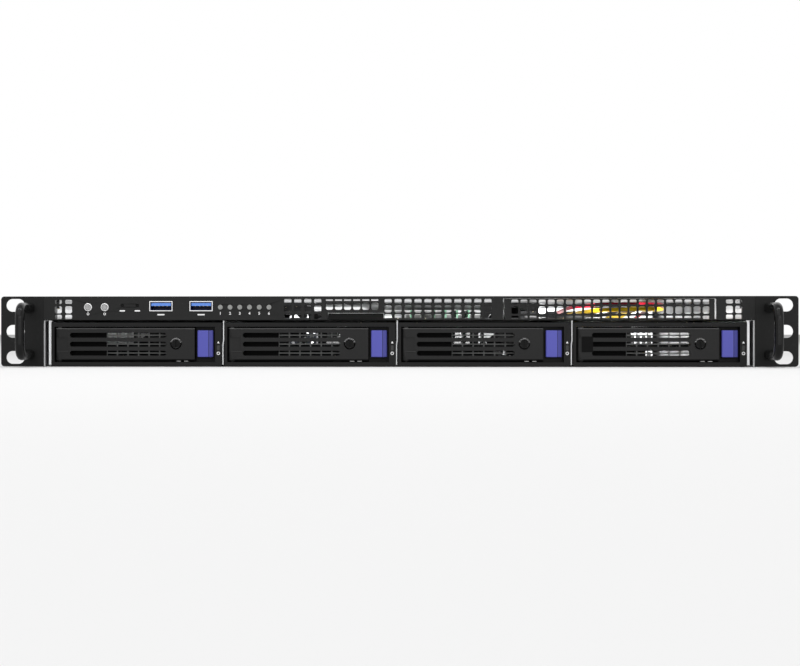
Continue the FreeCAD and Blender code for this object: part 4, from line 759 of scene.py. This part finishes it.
def plated(name, colour, rough, metal=0.9):
    """Bright plating with small stains."""
    finish = Finish(name, metal=metal)
    stain = finish.noise(120.0, 5.0)
    fine = finish.noise(3000.0, 2.0)
    dull = tuple(c * 0.7 for c in colour[:3]) + (1.0,)
    finish.set("Base Color", finish.mix(stain, colour, dull))
    finish.set("Roughness", stain * 0.18 + fine * 0.08 + (rough - 0.1))
    finish.bump(fine, 0.08, 0.00003)
    return finish.material


socket_plate = plated("socket_plate", grey(0.78), 0.28)
liner_navy = coloured_plastic("liner_navy", (0.008, 0.012, 0.085, 1.0), 0.4, gloss=0.25)
tongue_blue = coloured_plastic("tongue_blue", (0.10, 0.27, 0.82, 1.0), 0.36, 0.2)
contact_gold = plated("contact_gold", (0.86, 0.68, 0.36, 1.0), 0.25)
dress("usb_shells", socket_plate, edge=0.0001)
dress("usb_tongues", tongue_blue, edge=0.00015)

shell_low, shell_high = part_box("usb_shells")
SOCKET_WIDE = 0.0141
SOCKET_WALL = 0.0005
LINER_WALL = 0.0003
LINER_SUNK = 0.0007
CONTACTS = 4
CONTACT_PITCH = 0.0025
CONTACT_WIDE = 0.0011
CONTACT_LONG = 0.0062
CONTACT_THICK = 0.00016
CONTACT_SUNK = 0.0003
SOCKET_DASH_WIDE = 0.0044
SOCKET_DASH_DROP = 0.0021


def choose_faces(piece, wanted):
    """Select the faces of a piece in edit mode whose centre and normal suit."""
    bpy.ops.object.mode_set(mode="OBJECT")
    for polygon in piece.data.polygons:
        polygon.select = wanted(polygon.center, polygon.normal)
    for edge in piece.data.edges:
        edge.select = False
    for vertex in piece.data.vertices:
        vertex.select = False
    bpy.ops.object.mode_set(mode="EDIT")
    bpy.ops.mesh.select_mode(type="FACE")


def make_liner(name, x_low, x_high):
    """Thin-walled box, open at the front, that fits inside one metal mouth."""
    bpy.ops.object.select_all(action="DESELECT")
    low = Vector((x_low + SOCKET_WALL, shell_low.y + LINER_SUNK, shell_low.z + SOCKET_WALL))
    high = Vector((x_high - SOCKET_WALL, shell_high.y - SOCKET_WALL, shell_high.z - SOCKET_WALL))
    bpy.ops.mesh.primitive_cube_add(size=1, location=(low + high) / 2)
    liner = bpy.context.object
    liner.scale = high - low
    bpy.ops.object.transform_apply(location=False, rotation=False, scale=True)
    choose_faces(liner, lambda centre, normal: normal.y < -0.9)
    bpy.ops.mesh.inset(thickness=LINER_WALL, depth=0)
    bpy.ops.mesh.extrude_region_move(TRANSFORM_OT_translate={"value": (0, high.y - low.y - LINER_WALL, 0)})
    bpy.ops.object.mode_set(mode="OBJECT")
    return settle(liner, name, liner_navy, "chassis")


def make_contact(name, x):
    """Flat gold strip under the tongue, its front end narrower."""
    bpy.ops.object.select_all(action="DESELECT")
    tongue_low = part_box("usb_tongues")[0]
    place = (x, tongue_low.y + CONTACT_SUNK + CONTACT_LONG / 2, tongue_low.z - CONTACT_THICK / 2)
    bpy.ops.mesh.primitive_cube_add(size=1, location=place)
    contact = bpy.context.object
    contact.scale = (CONTACT_WIDE, CONTACT_LONG, CONTACT_THICK)
    bpy.ops.object.transform_apply(location=False, rotation=False, scale=True)
    choose_faces(contact, lambda centre, normal: normal.y < -0.9)
    bpy.ops.transform.resize(value=(0.7, 1, 1))
    bpy.ops.object.mode_set(mode="OBJECT")
    softened(contact, 0.00003, 1)
    return settle(contact, name, contact_gold, "chassis")


for socket, x_low in enumerate((shell_low.x, shell_high.x - SOCKET_WIDE)):
    make_liner(f"socket_liner_{socket + 1}", x_low, x_low + SOCKET_WIDE)
    socket_x = x_low + SOCKET_WIDE / 2
    for count in range(CONTACTS):
        make_contact(f"socket_contact_{socket + 1}_{count + 1}",
                     socket_x + (count - (CONTACTS - 1) / 2) * CONTACT_PITCH)
    bar_mark(f"mark_socket_{socket + 1}", (socket_x, strip_front, shell_low.z - SOCKET_DASH_DROP),
             (SOCKET_DASH_WIDE, DASH_HIGH), white_ink, "chassis")


# ---- Lock rings, latch clips, and marks on bezels and levers ----
# Each lock barrel stands in a dark plated ring pressed into the lever. Two steel spring clips show under
# the lever's end. An arrowhead, a band and a ring are printed on each bezel. The last lever carries a dark
# label; on each other lever a thin pale bar is a painted highlight along the lower edge of its label
# recess.

RING_OUT = 0.0036
RING_IN = 0.00262
RING_PROUD = 0.0003
CLIP_LONG = 0.0029
CLIP_DEEP = 0.003
CLIP_HIGH = 0.0004
CLIP_BEHIND = 0.0022
CLIP_FROM_LEFT = (0.0762, 0.0808)
CLIP_FROM_BELOW = 0.0030
MARK_FROM_RIGHT = 0.0020
ARROW_Z = -0.0068
ARROW_SIZE = 0.0009
BAND_Z = -0.0100
BAND = (0.0016, 0.0030)
BEZEL_RING_Z = -0.0133
BEZEL_RING = (0.0010, 0.0006)
LABEL_FROM_LEFT = 0.0062
LABEL_Z = -0.0078
LABEL = (0.0068, 0.0094)
LINE_FROM_LEFT = 0.0050
LINE_Z = -0.0121
LINE = (0.0064, 0.00028)
ring_steel = plated("ring_steel", grey(0.34), 0.3)
clip_steel = plated("clip_steel", grey(0.6), 0.35)
# Grey ink for the printed band, and also the colour of the painted highlight line on the levers.
grey_ink_and_highlight = coloured_plastic("grey_ink_and_highlight", grey(0.045), 0.5, gloss=0.2)
label_black = coloured_plastic("label_black", grey(0.0028), 0.6, gloss=0.08)


def make_lock_ring(centre, front):
    """Flat ring with broken edges round a lock barrel."""
    bpy.ops.object.select_all(action="DESELECT")
    bpy.ops.mesh.primitive_circle_add(vertices=32, radius=RING_OUT, fill_type="NGON",
                                      location=(centre.x, front, centre.z), rotation=UPRIGHT)
    ring = bpy.context.object
    bpy.ops.object.mode_set(mode="EDIT")
    bpy.ops.mesh.select_all(action="SELECT")
    bpy.ops.mesh.inset(thickness=RING_OUT - RING_IN, depth=0)
    bpy.ops.mesh.delete(type="FACE")
    bpy.ops.object.mode_set(mode="OBJECT")
    thick = ring.modifiers.new("thick", "SOLIDIFY")
    thick.thickness = RING_PROUD
    thick.offset = 1
    softened(ring, RING_PROUD * 0.45, 2)
    return ring


def make_clip(name, place, body):
    """End of a spring clip, tapered to the front."""
    bpy.ops.object.select_all(action="DESELECT")
    bpy.ops.mesh.primitive_cube_add(size=1, location=place)
    clip = bpy.context.object
    clip.scale = (CLIP_LONG, CLIP_DEEP, CLIP_HIGH)
    bpy.ops.object.transform_apply(location=False, rotation=False, scale=True)
    choose_faces(clip, lambda centre, normal: normal.y < -0.9)
    bpy.ops.transform.resize(value=(0.86, 1, 0.8))
    bpy.ops.object.mode_set(mode="OBJECT")
    softened(clip, 0.00008, 1)
    return settle(clip, name, clip_steel, body)


def make_arrowhead(name, place, size, body):
    """Small printed arrowhead that points up."""
    bpy.ops.object.select_all(action="DESELECT")
    bpy.ops.mesh.primitive_circle_add(vertices=3, radius=size, fill_type="NGON", location=place,
                                      rotation=UPRIGHT)
    mark = bpy.context.object
    bpy.ops.object.mode_set(mode="EDIT")
    bpy.ops.mesh.select_all(action="SELECT")
    bpy.ops.mesh.bevel(offset=size * 0.2, segments=2, affect="VERTICES")
    bpy.ops.object.mode_set(mode="OBJECT")
    ink = mark.modifiers.new("ink", "SOLIDIFY")
    ink.thickness = INK
    ink.offset = 1
    return settle(mark, name, white_ink, body)


for bay in trays:
    lever_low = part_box("tray_lever_" + bay)[0]
    bezel_low, bezel_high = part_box("tray_bezel_" + bay)
    ring = make_lock_ring(middle("tray_lock_" + bay), lever_low.y + RING_PROUD)
    settle(ring, "lock_ring_" + bay, ring_steel, "lever_" + bay)
    for count, start in enumerate(CLIP_FROM_LEFT):
        place = (bezel_low.x + start + CLIP_LONG / 2, lever_low.y + CLIP_BEHIND,
                 bezel_low.z + CLIP_FROM_BELOW)
        make_clip(f"latch_clip_{bay}_{count + 1}", place, "tray_" + bay)
    mark_x = bezel_high.x - MARK_FROM_RIGHT
    bar_mark("mark_band_" + bay, (mark_x, bezel_low.y, BAND_Z), BAND, grey_ink_and_highlight, "tray_" + bay)
    if bay == trays[-1]:
        place = (lever_low.x + LABEL_FROM_LEFT, bezel_low.y, LABEL_Z)
        bar_mark("lever_label", place, LABEL, label_black, "lever_" + bay)
    else:
        # On levers 1 to 3 a thin pale bar is a painted highlight along the lower edge of the label recess.
        place = (lever_low.x + LINE_FROM_LEFT, bezel_low.y, LINE_Z)
        bar_mark("lever_highlight_line_" + bay, place, LINE, grey_ink_and_highlight, "lever_" + bay)
    make_arrowhead("mark_arrow_" + bay, (mark_x, bezel_low.y, ARROW_Z), ARROW_SIZE, "tray_" + bay)
    ring_mark("mark_ring_" + bay, (mark_x, bezel_low.y, BEZEL_RING_Z), *BEZEL_RING, "tray_" + bay)


# ---- Screws ----
# Pan-head machine screws with a cross recess. Four black ones hold each ear's flange to the side wall,
# and nine zinc-plated ones hold the main board to its stand-offs.

HEAD_R = 0.0028
HEAD_HIGH = 0.0014
RECESS_LONG = 0.0030
RECESS_WIDE = 0.00075
EAR_SHEET = 0.002
EAR_SCREWS = ((0.014, -0.0113), (0.014, 0.0113), (0.046, -0.0113), (0.046, 0.0113))
BOARD_THICK = 0.0016
STUD_X_INSET = 0.003
STUD_MIDDLE_X = -0.0975
STUD_Y_INSET = 0.0026
screw_zinc = plated("screw_zinc", grey(0.5), 0.3)
screw_black = powder_coat("screw_black", tone=0.012, rough=0.3, grain=2500.0, gloss=0.4)


def make_screw():
    """Screw head at the origin that faces up, a cross cut into its domed top."""
    bpy.ops.object.select_all(action="DESELECT")
    bpy.ops.mesh.primitive_cylinder_add(vertices=24, radius=HEAD_R, depth=HEAD_HIGH * 0.7,
                                        location=(0, 0, HEAD_HIGH * 0.35))
    head = bpy.context.object
    choose_faces(head, lambda centre, normal: normal.z > 0.9)
    bpy.ops.mesh.inset(thickness=HEAD_R * 0.3, depth=0)
    bpy.ops.transform.translate(value=(0, 0, HEAD_HIGH * 0.3))
    bpy.ops.object.mode_set(mode="OBJECT")
    for long, wide in ((RECESS_LONG, RECESS_WIDE), (RECESS_WIDE, RECESS_LONG)):
        carve(head, make_block(Vector((-long / 2, -wide / 2, HEAD_HIGH * 0.5)),
                               Vector((long / 2, wide / 2, HEAD_HIGH * 1.5))))
    return head


def place_screw(head, name, place, turn, material):
    """Copy of the screw head, turned and set on its seat."""
    bpy.ops.object.select_all(action="DESELECT")
    screw = bpy.data.objects.new(name, head.data.copy())
    bpy.context.scene.collection.objects.link(screw)
    screw.select_set(True)
    bpy.context.view_layer.objects.active = screw
    screw.rotation_euler = turn
    screw.location = place
    return settle(screw, name, material, "chassis")


head = make_screw()
ear_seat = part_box("right_ear")[0].x + EAR_SHEET
for label, side, turn in (("left", -1, -90), ("right", 1, 90)):
    for count, (y, z) in enumerate(EAR_SCREWS):
        place_screw(head, f"ear_screw_{label}_{count + 1}", (side * ear_seat, y, z),
                    (math.radians(25 * count), math.radians(turn), 0), screw_black)
stud_low, stud_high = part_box("board_standoffs")
board_top = stud_high.z + BOARD_THICK
stud_xs = (stud_low.x + STUD_X_INSET, STUD_MIDDLE_X, stud_high.x - STUD_X_INSET)
stud_ys = (stud_low.y + STUD_Y_INSET, (stud_low.y + stud_high.y) / 2, stud_high.y - STUD_Y_INSET)
for across, x in enumerate(stud_xs):
    for deep, y in enumerate(stud_ys):
        place_screw(head, f"board_screw_{across + 1}_{deep + 1}", (x, y, board_top),
                    (0, 0, math.radians(17 * across + 31 * deep)), screw_zinc)
bpy.data.objects.remove(head)


# ---- Main board, memory and their small parts ----
# Glass-fibre boards under green or black solder resist, their copper tracks a paler shade. The coils,
# connectors and memory sockets that stand on the main board are black mouldings.

def circuit(name, colour, above=None):
    """Solder resist with tracks and pads; what stands over a height is dark moulding."""
    finish = Finish(name, gloss=0.4)
    tracks = finish.node("ShaderNodeTexBrick", {"offset": 0.37},
                         {"Vector": finish.place(), "Scale": 260.0, "Mortar Size": 0.035,
                          "Brick Width": 1.3, "Row Height": 0.22,
                          "Color1": grey(0.1), "Color2": grey(0.9), "Mortar": grey(1.0)})
    lines = finish.node("ShaderNodeSeparateColor", values={0: tracks})
    spread = finish.noise(60.0, 4.0)
    pads = finish.node("ShaderNodeTexVoronoi", {"feature": "F1"},
                       {"Vector": finish.place(), "Scale": 420.0}, out="Distance").below(0.16)
    pads = pads * spread.above(0.52)
    light = tuple(min(1.0, c * 2.0) for c in colour[:3]) + (1.0,)
    face = finish.mix((lines * spread).clamped(), colour, light)
    face = finish.mix(pads, face, (0.55, 0.50, 0.36, 1.0))
    if above is not None:
        part = finish.axis("Z").above(above)
        face = finish.mix(part, face, grey(0.03))
    finish.set("Base Color", face)
    finish.set("Roughness", spread * 0.2 + 0.26)
    finish.bump(lines + pads, 0.15, 0.00005)
    return finish.material


RESIST_THICK = 0.0001
board_green = circuit("board_green", (0.010, 0.085, 0.042, 1.0), board_top + RESIST_THICK)
board_black = circuit("board_black", (0.008, 0.009, 0.010, 1.0))
module_green = circuit("module_green", (0.012, 0.11, 0.048, 1.0))
chip_black = grained_plastic("chip_black", 0.018, 0.36, 5200.0, 0.4)
dress("motherboard", board_green, edge=0.0002)
dress("backplane", board_black)
dress("control_board", board_black)
dress("memory_modules", module_green)
dress("drive_sockets", grained_plastic("drive_socket_black", 0.010, 0.4), edge=0.0002)

MODULES = 6
MODULE_THICK = 0.0014
CHIPS = 9
CHIP_X = 0.0010
CHIP_Y = 0.0090
CHIP_Z = 0.0110
CHIP_STEP = 0.0142
CHIP_BELOW_TOP = 0.006
CHIP_RIM = 0.0007
CHIP_DISH = 0.00012
modules_low, modules_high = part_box("memory_modules")
module_pitch = (modules_high.x - modules_low.x - MODULE_THICK) / (MODULES - 1)


def make_chip_row(name, x):
    """Row of memory packages on one face of a module."""
    bpy.ops.object.select_all(action="DESELECT")
    first = (modules_low.y + modules_high.y) / 2 - CHIP_STEP * (CHIPS - 1) / 2
    place = (x, first, modules_high.z - CHIP_Z / 2 - CHIP_BELOW_TOP)
    bpy.ops.mesh.primitive_cube_add(size=1, location=place)
    chips = bpy.context.object
    chips.scale = (CHIP_X, CHIP_Y, CHIP_Z)
    bpy.ops.object.transform_apply(location=False, rotation=False, scale=True)
    choose_faces(chips, lambda centre, normal: abs(normal.x) > 0.9)
    bpy.ops.mesh.inset(thickness=CHIP_RIM, depth=CHIP_DISH)
    bpy.ops.object.mode_set(mode="OBJECT")
    row = chips.modifiers.new("row", "ARRAY")
    row.count = CHIPS
    row.use_relative_offset = False
    row.use_constant_offset = True
    row.constant_offset_displace = (0, CHIP_STEP, 0)
    return settle(chips, name, chip_black, "chassis")


first_chips = make_chip_row("memory_chips_1", modules_low.x - CHIP_X / 2)
for count in range(1, MODULES):
    twin(first_chips, f"memory_chips_{count + 1}", (module_pitch * count, 0, 0), "chassis")

CAN_R = 0.0040
CAN_HIGH = 0.0105
CAN_X = -0.100
CAN_FROM_FRONT = 0.0500
CAN_PITCH = 0.0105
CANS = 8
CANS_IN_ROW = 4
CAN_ROLL = 0.0005
CAN_GROOVE = 0.0003
CAN_GROOVE_DEEP = 0.0004
CAN_TOP_DEEP = 0.0006
can_sleeve = coloured_plastic("can_sleeve", (0.02, 0.022, 0.03, 1.0), 0.3, gloss=0.5)
can_top = plated("can_top", grey(0.72), 0.3)
board_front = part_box("motherboard")[0].y


def make_can(name, x, y):
    """Electrolytic capacitor: sleeved can with a sunk metal top inside a rolled edge."""
    bpy.ops.object.select_all(action="DESELECT")
    bpy.ops.mesh.primitive_cylinder_add(vertices=20, radius=CAN_R, depth=CAN_HIGH,
                                        location=(x, y, board_top + CAN_HIGH / 2))
    can = bpy.context.object
    choose_faces(can, lambda centre, normal: normal.z > 0.9)
    bpy.ops.mesh.inset(thickness=CAN_ROLL, depth=0)
    bpy.ops.mesh.inset(thickness=CAN_GROOVE, depth=-CAN_GROOVE_DEEP)
    bpy.ops.object.mode_set(mode="OBJECT")
    can = settle(can, name, can_sleeve, "chassis")
    can.data.materials.append(can_top)
    for polygon in can.data.polygons:
        if polygon.center.z > board_top + CAN_HIGH - CAN_TOP_DEEP:
            polygon.material_index = 1
    return can


first_can = make_can("capacitor_1", CAN_X, board_front + CAN_FROM_FRONT)
for count in range(1, CANS):
    shift = (CAN_PITCH * (count % CANS_IN_ROW), CAN_PITCH * (count // CANS_IN_ROW), 0)
    twin(first_can, f"capacitor_{count + 1}", shift, "chassis")

PACKAGE_THICK = 0.0012
PACKAGE_CLEAR = 0.0001
PACKAGE_RIM = 0.0004
PACKAGE_DISH = 0.0001
LEG_REACH = 0.0011
LEG_WIDE = 0.0005
LEG_HIGH = 0.0004
LEG_Z = 0.0003
LEG_PITCH = 0.0013
LEG_INSET = 0.0009
LEG_DROOP = 0.0001

# Name, place across, place behind the board's front edge, width and depth of each package
PACKAGES = (("controller_a", -0.168, 0.176, 0.014, 0.014), ("controller_b", -0.040, 0.190, 0.012, 0.012),
            ("driver_a", -0.095, 0.030, 0.006, 0.009), ("driver_b", -0.076, 0.030, 0.006, 0.009),
            ("flash", 0.080, 0.060, 0.008, 0.006), ("clock", 0.080, 0.120, 0.007, 0.010),
            ("driver_c", -0.140, 0.176, 0.006, 0.009), ("sound", 0.080, 0.030, 0.009, 0.009))


def make_package(name, x, y, wide, deep):
    """Flat chip package with a sunk middle to its top."""
    bpy.ops.object.select_all(action="DESELECT")
    bpy.ops.mesh.primitive_cube_add(size=1, location=(x, y, board_top + PACKAGE_THICK / 2 + PACKAGE_CLEAR))
    package = bpy.context.object
    package.scale = (wide, deep, PACKAGE_THICK)
    bpy.ops.object.transform_apply(location=False, rotation=False, scale=True)
    choose_faces(package, lambda centre, normal: normal.z > 0.9)
    bpy.ops.mesh.inset(thickness=PACKAGE_RIM, depth=PACKAGE_DISH)
    bpy.ops.object.mode_set(mode="OBJECT")
    return settle(package, name, chip_black, "chassis")


def make_legs(name, x, y, wide, deep):
    """Tinned legs along the left and right side of a package."""
    bpy.ops.object.select_all(action="DESELECT")
    bpy.ops.mesh.primitive_cube_add(size=1, location=(x, y - deep / 2 + LEG_INSET, board_top + LEG_Z))
    legs = bpy.context.object
    legs.scale = (wide + LEG_REACH * 2, LEG_WIDE, LEG_HIGH)
    bpy.ops.object.transform_apply(location=False, rotation=False, scale=True)
    choose_faces(legs, lambda centre, normal: abs(normal.x) > 0.9)
    bpy.ops.transform.translate(value=(0, 0, -LEG_DROOP))
    bpy.ops.object.mode_set(mode="OBJECT")
    row = legs.modifiers.new("row", "ARRAY")
    row.count = int(deep / LEG_PITCH)
    row.use_relative_offset = False
    row.use_constant_offset = True
    row.constant_offset_displace = (0, LEG_PITCH, 0)
    return settle(legs, name, screw_zinc, "chassis")


for label, x, from_front, wide, deep in PACKAGES:
    make_package("chip_" + label, x, board_front + from_front, wide, deep)
    make_legs("legs_" + label, x, board_front + from_front, wide, deep)


# ---- Heat sinks ----
# Two aluminium blocks, extruded with their fins and sawn to length. Each stands over a processor on the
# main board.

def extruded(name, tone):
    """Extruded aluminium with long die lines."""
    finish = Finish(name, metal=0.95)
    lines = finish.noise(80.0, 3.0, (60, 1, 60))
    stain = finish.noise(25.0, 4.0)
    shade = (lines * 0.5 + stain * 0.4).clamped()
    finish.set("Base Color", finish.mix(shade, grey(tone), grey(tone * 0.6)))
    finish.set("Roughness", lines * 0.15 + stain * 0.1 + 0.26)
    finish.bump(lines, 0.2, 0.00005)
    return finish.material


dress("heatsinks", extruded("sink_aluminium", 0.78))


# ---- Rear sockets, their shield, supply inlet and rocker ----
# Black housings with plated rims stand in a stamped shield that fills the rear wall's window and has a
# row of slots above them. The inlet and the rocker are glossy black mouldings, clipped into the wall.

SHIELD_LEFT = -0.158
SHIELD_WIDTH = 0.1588
SHIELD_LOW = -0.0163
SHIELD_HIGH = 0.0147
SHIELD_GAP = 0.0003
SHIELD_CLEAR = 0.00005
SHIELD_FRONT = 0.0001
SHIELD_BACK = 0.0005
RIM_DEEP = 0.0003

# Left side from the shield's, width and height of each port
REAR_PORTS = ((0.008, 0.015, 0.016), (0.028, 0.015, 0.016), (0.050, 0.016, 0.0135), (0.068, 0.016, 0.0135),
              (0.086, 0.016, 0.0135), (0.112, 0.031, 0.0125))
SLOTS = 12
SLOT_LONG = 0.0090
SLOT_LOW = 0.0078
SLOT_HIGH = 0.0110


def rimmed(name, tone, back):
    """Plated rim on a black housing, which lies in front of a depth."""
    finish = Finish(name, metal=0.9)
    stain = finish.noise(120.0, 5.0)
    inside = finish.axis("Y").below(back)
    rim = finish.mix(stain, grey(tone), grey(tone * 0.7))
    finish.set("Base Color", finish.mix(inside, rim, grey(0.008)))
    finish.set("Metallic", 0.9 - inside * 0.9)
    finish.set("Roughness", stain * 0.15 + 0.26)
    return finish.material


ports_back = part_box("io_ports")[1].y
dress("io_ports", rimmed("port_plate", 0.50, ports_back - RIM_DEEP), edge=0.00015)
rear_low, rear_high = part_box("rear_panel")
gaps = []
for left, wide, high in REAR_PORTS:
    x = SHIELD_LEFT + left
    gaps.append((Vector((x - SHIELD_GAP, rear_low.y, board_top - SHIELD_GAP)),
                 Vector((x + wide + SHIELD_GAP, rear_high.y, board_top + high + SHIELD_GAP))))
for count in range(SLOTS):
    x = SHIELD_LEFT + (count + 0.5) * SHIELD_WIDTH / SLOTS
    gaps.append((Vector((x - SLOT_LONG / 2, rear_low.y, SLOT_LOW)),
                 Vector((x + SLOT_LONG / 2, rear_high.y, SLOT_HIGH))))
shield_low = Vector((SHIELD_LEFT + SHIELD_CLEAR, rear_low.y + SHIELD_FRONT, SHIELD_LOW + SHIELD_CLEAR))
shield_high = Vector((SHIELD_LEFT + SHIELD_WIDTH - SHIELD_CLEAR, rear_high.y - SHIELD_BACK,
                      SHIELD_HIGH - SHIELD_CLEAR))
shield = make_plate(shield_low, shield_high, gaps)
settle(shield, "port_shield", zinc("shield_zinc", 0.62, 0.34), "chassis")
dress("psu_inlet", coloured_plastic("inlet_black", grey(0.012), 0.3, gloss=0.45), edge=0.0003)
rocker_black = coloured_plastic("rocker_black", grey(0.010), 0.22, coat=0.3, gloss=0.5)
dress("psu_switch", rocker_black, edge=0.0005, angle=14)


# ---- Fans ----
# Square frames moulded in glass-filled black nylon, with a five-bladed rotor turning in each. The rotors
# are a smoother, glossier black.

fan_black = grained_plastic("fan_black", 0.012, 0.42, 2400.0, 0.35)
rotor_black = coloured_plastic("rotor_black", grey(0.014), 0.34, gloss=0.4)
dress("fan_frames", fan_black, edge=0.0003)
for number in range(1, 5):
    dress(f"fan_rotor_{number}", rotor_black, edge=0.0002, angle=50)


# ---- Wires ----
# Stranded copper in soft vinyl sleeves, yellow, red and black, from the supply to the backplane. Two flat
# black drive cables, with a rib for each strand, go to the main board.

def sleeve(name, colour, ribs=0.0):
    """Soft vinyl sleeve, a little scuffed, and ribbed along a flat cable where asked."""
    finish = Finish(name, gloss=0.35)
    scuff = finish.noise(500.0, 4.0)
    deep = tuple(c * 0.72 for c in colour[:3]) + (1.0,)
    finish.set("Base Color", finish.mix(scuff, colour, deep))
    finish.set("Roughness", scuff * 0.2 + 0.3)
    height = scuff
    if ribs:
        height = (finish.axis("X") * ribs).sine() * 0.5 + scuff * 0.2
    finish.bump(height, 0.4, 0.00015)
    return finish.material


dress("wires_yellow", sleeve("wire_yellow", (0.80, 0.53, 0.006, 1.0)))
dress("wires_red", sleeve("wire_red", (0.42, 0.008, 0.026, 1.0)))
dress("wires_black", sleeve("wire_black", grey(0.010)))
dress("data_cables", sleeve("cable_black", grey(0.012), ribs=4900.0))
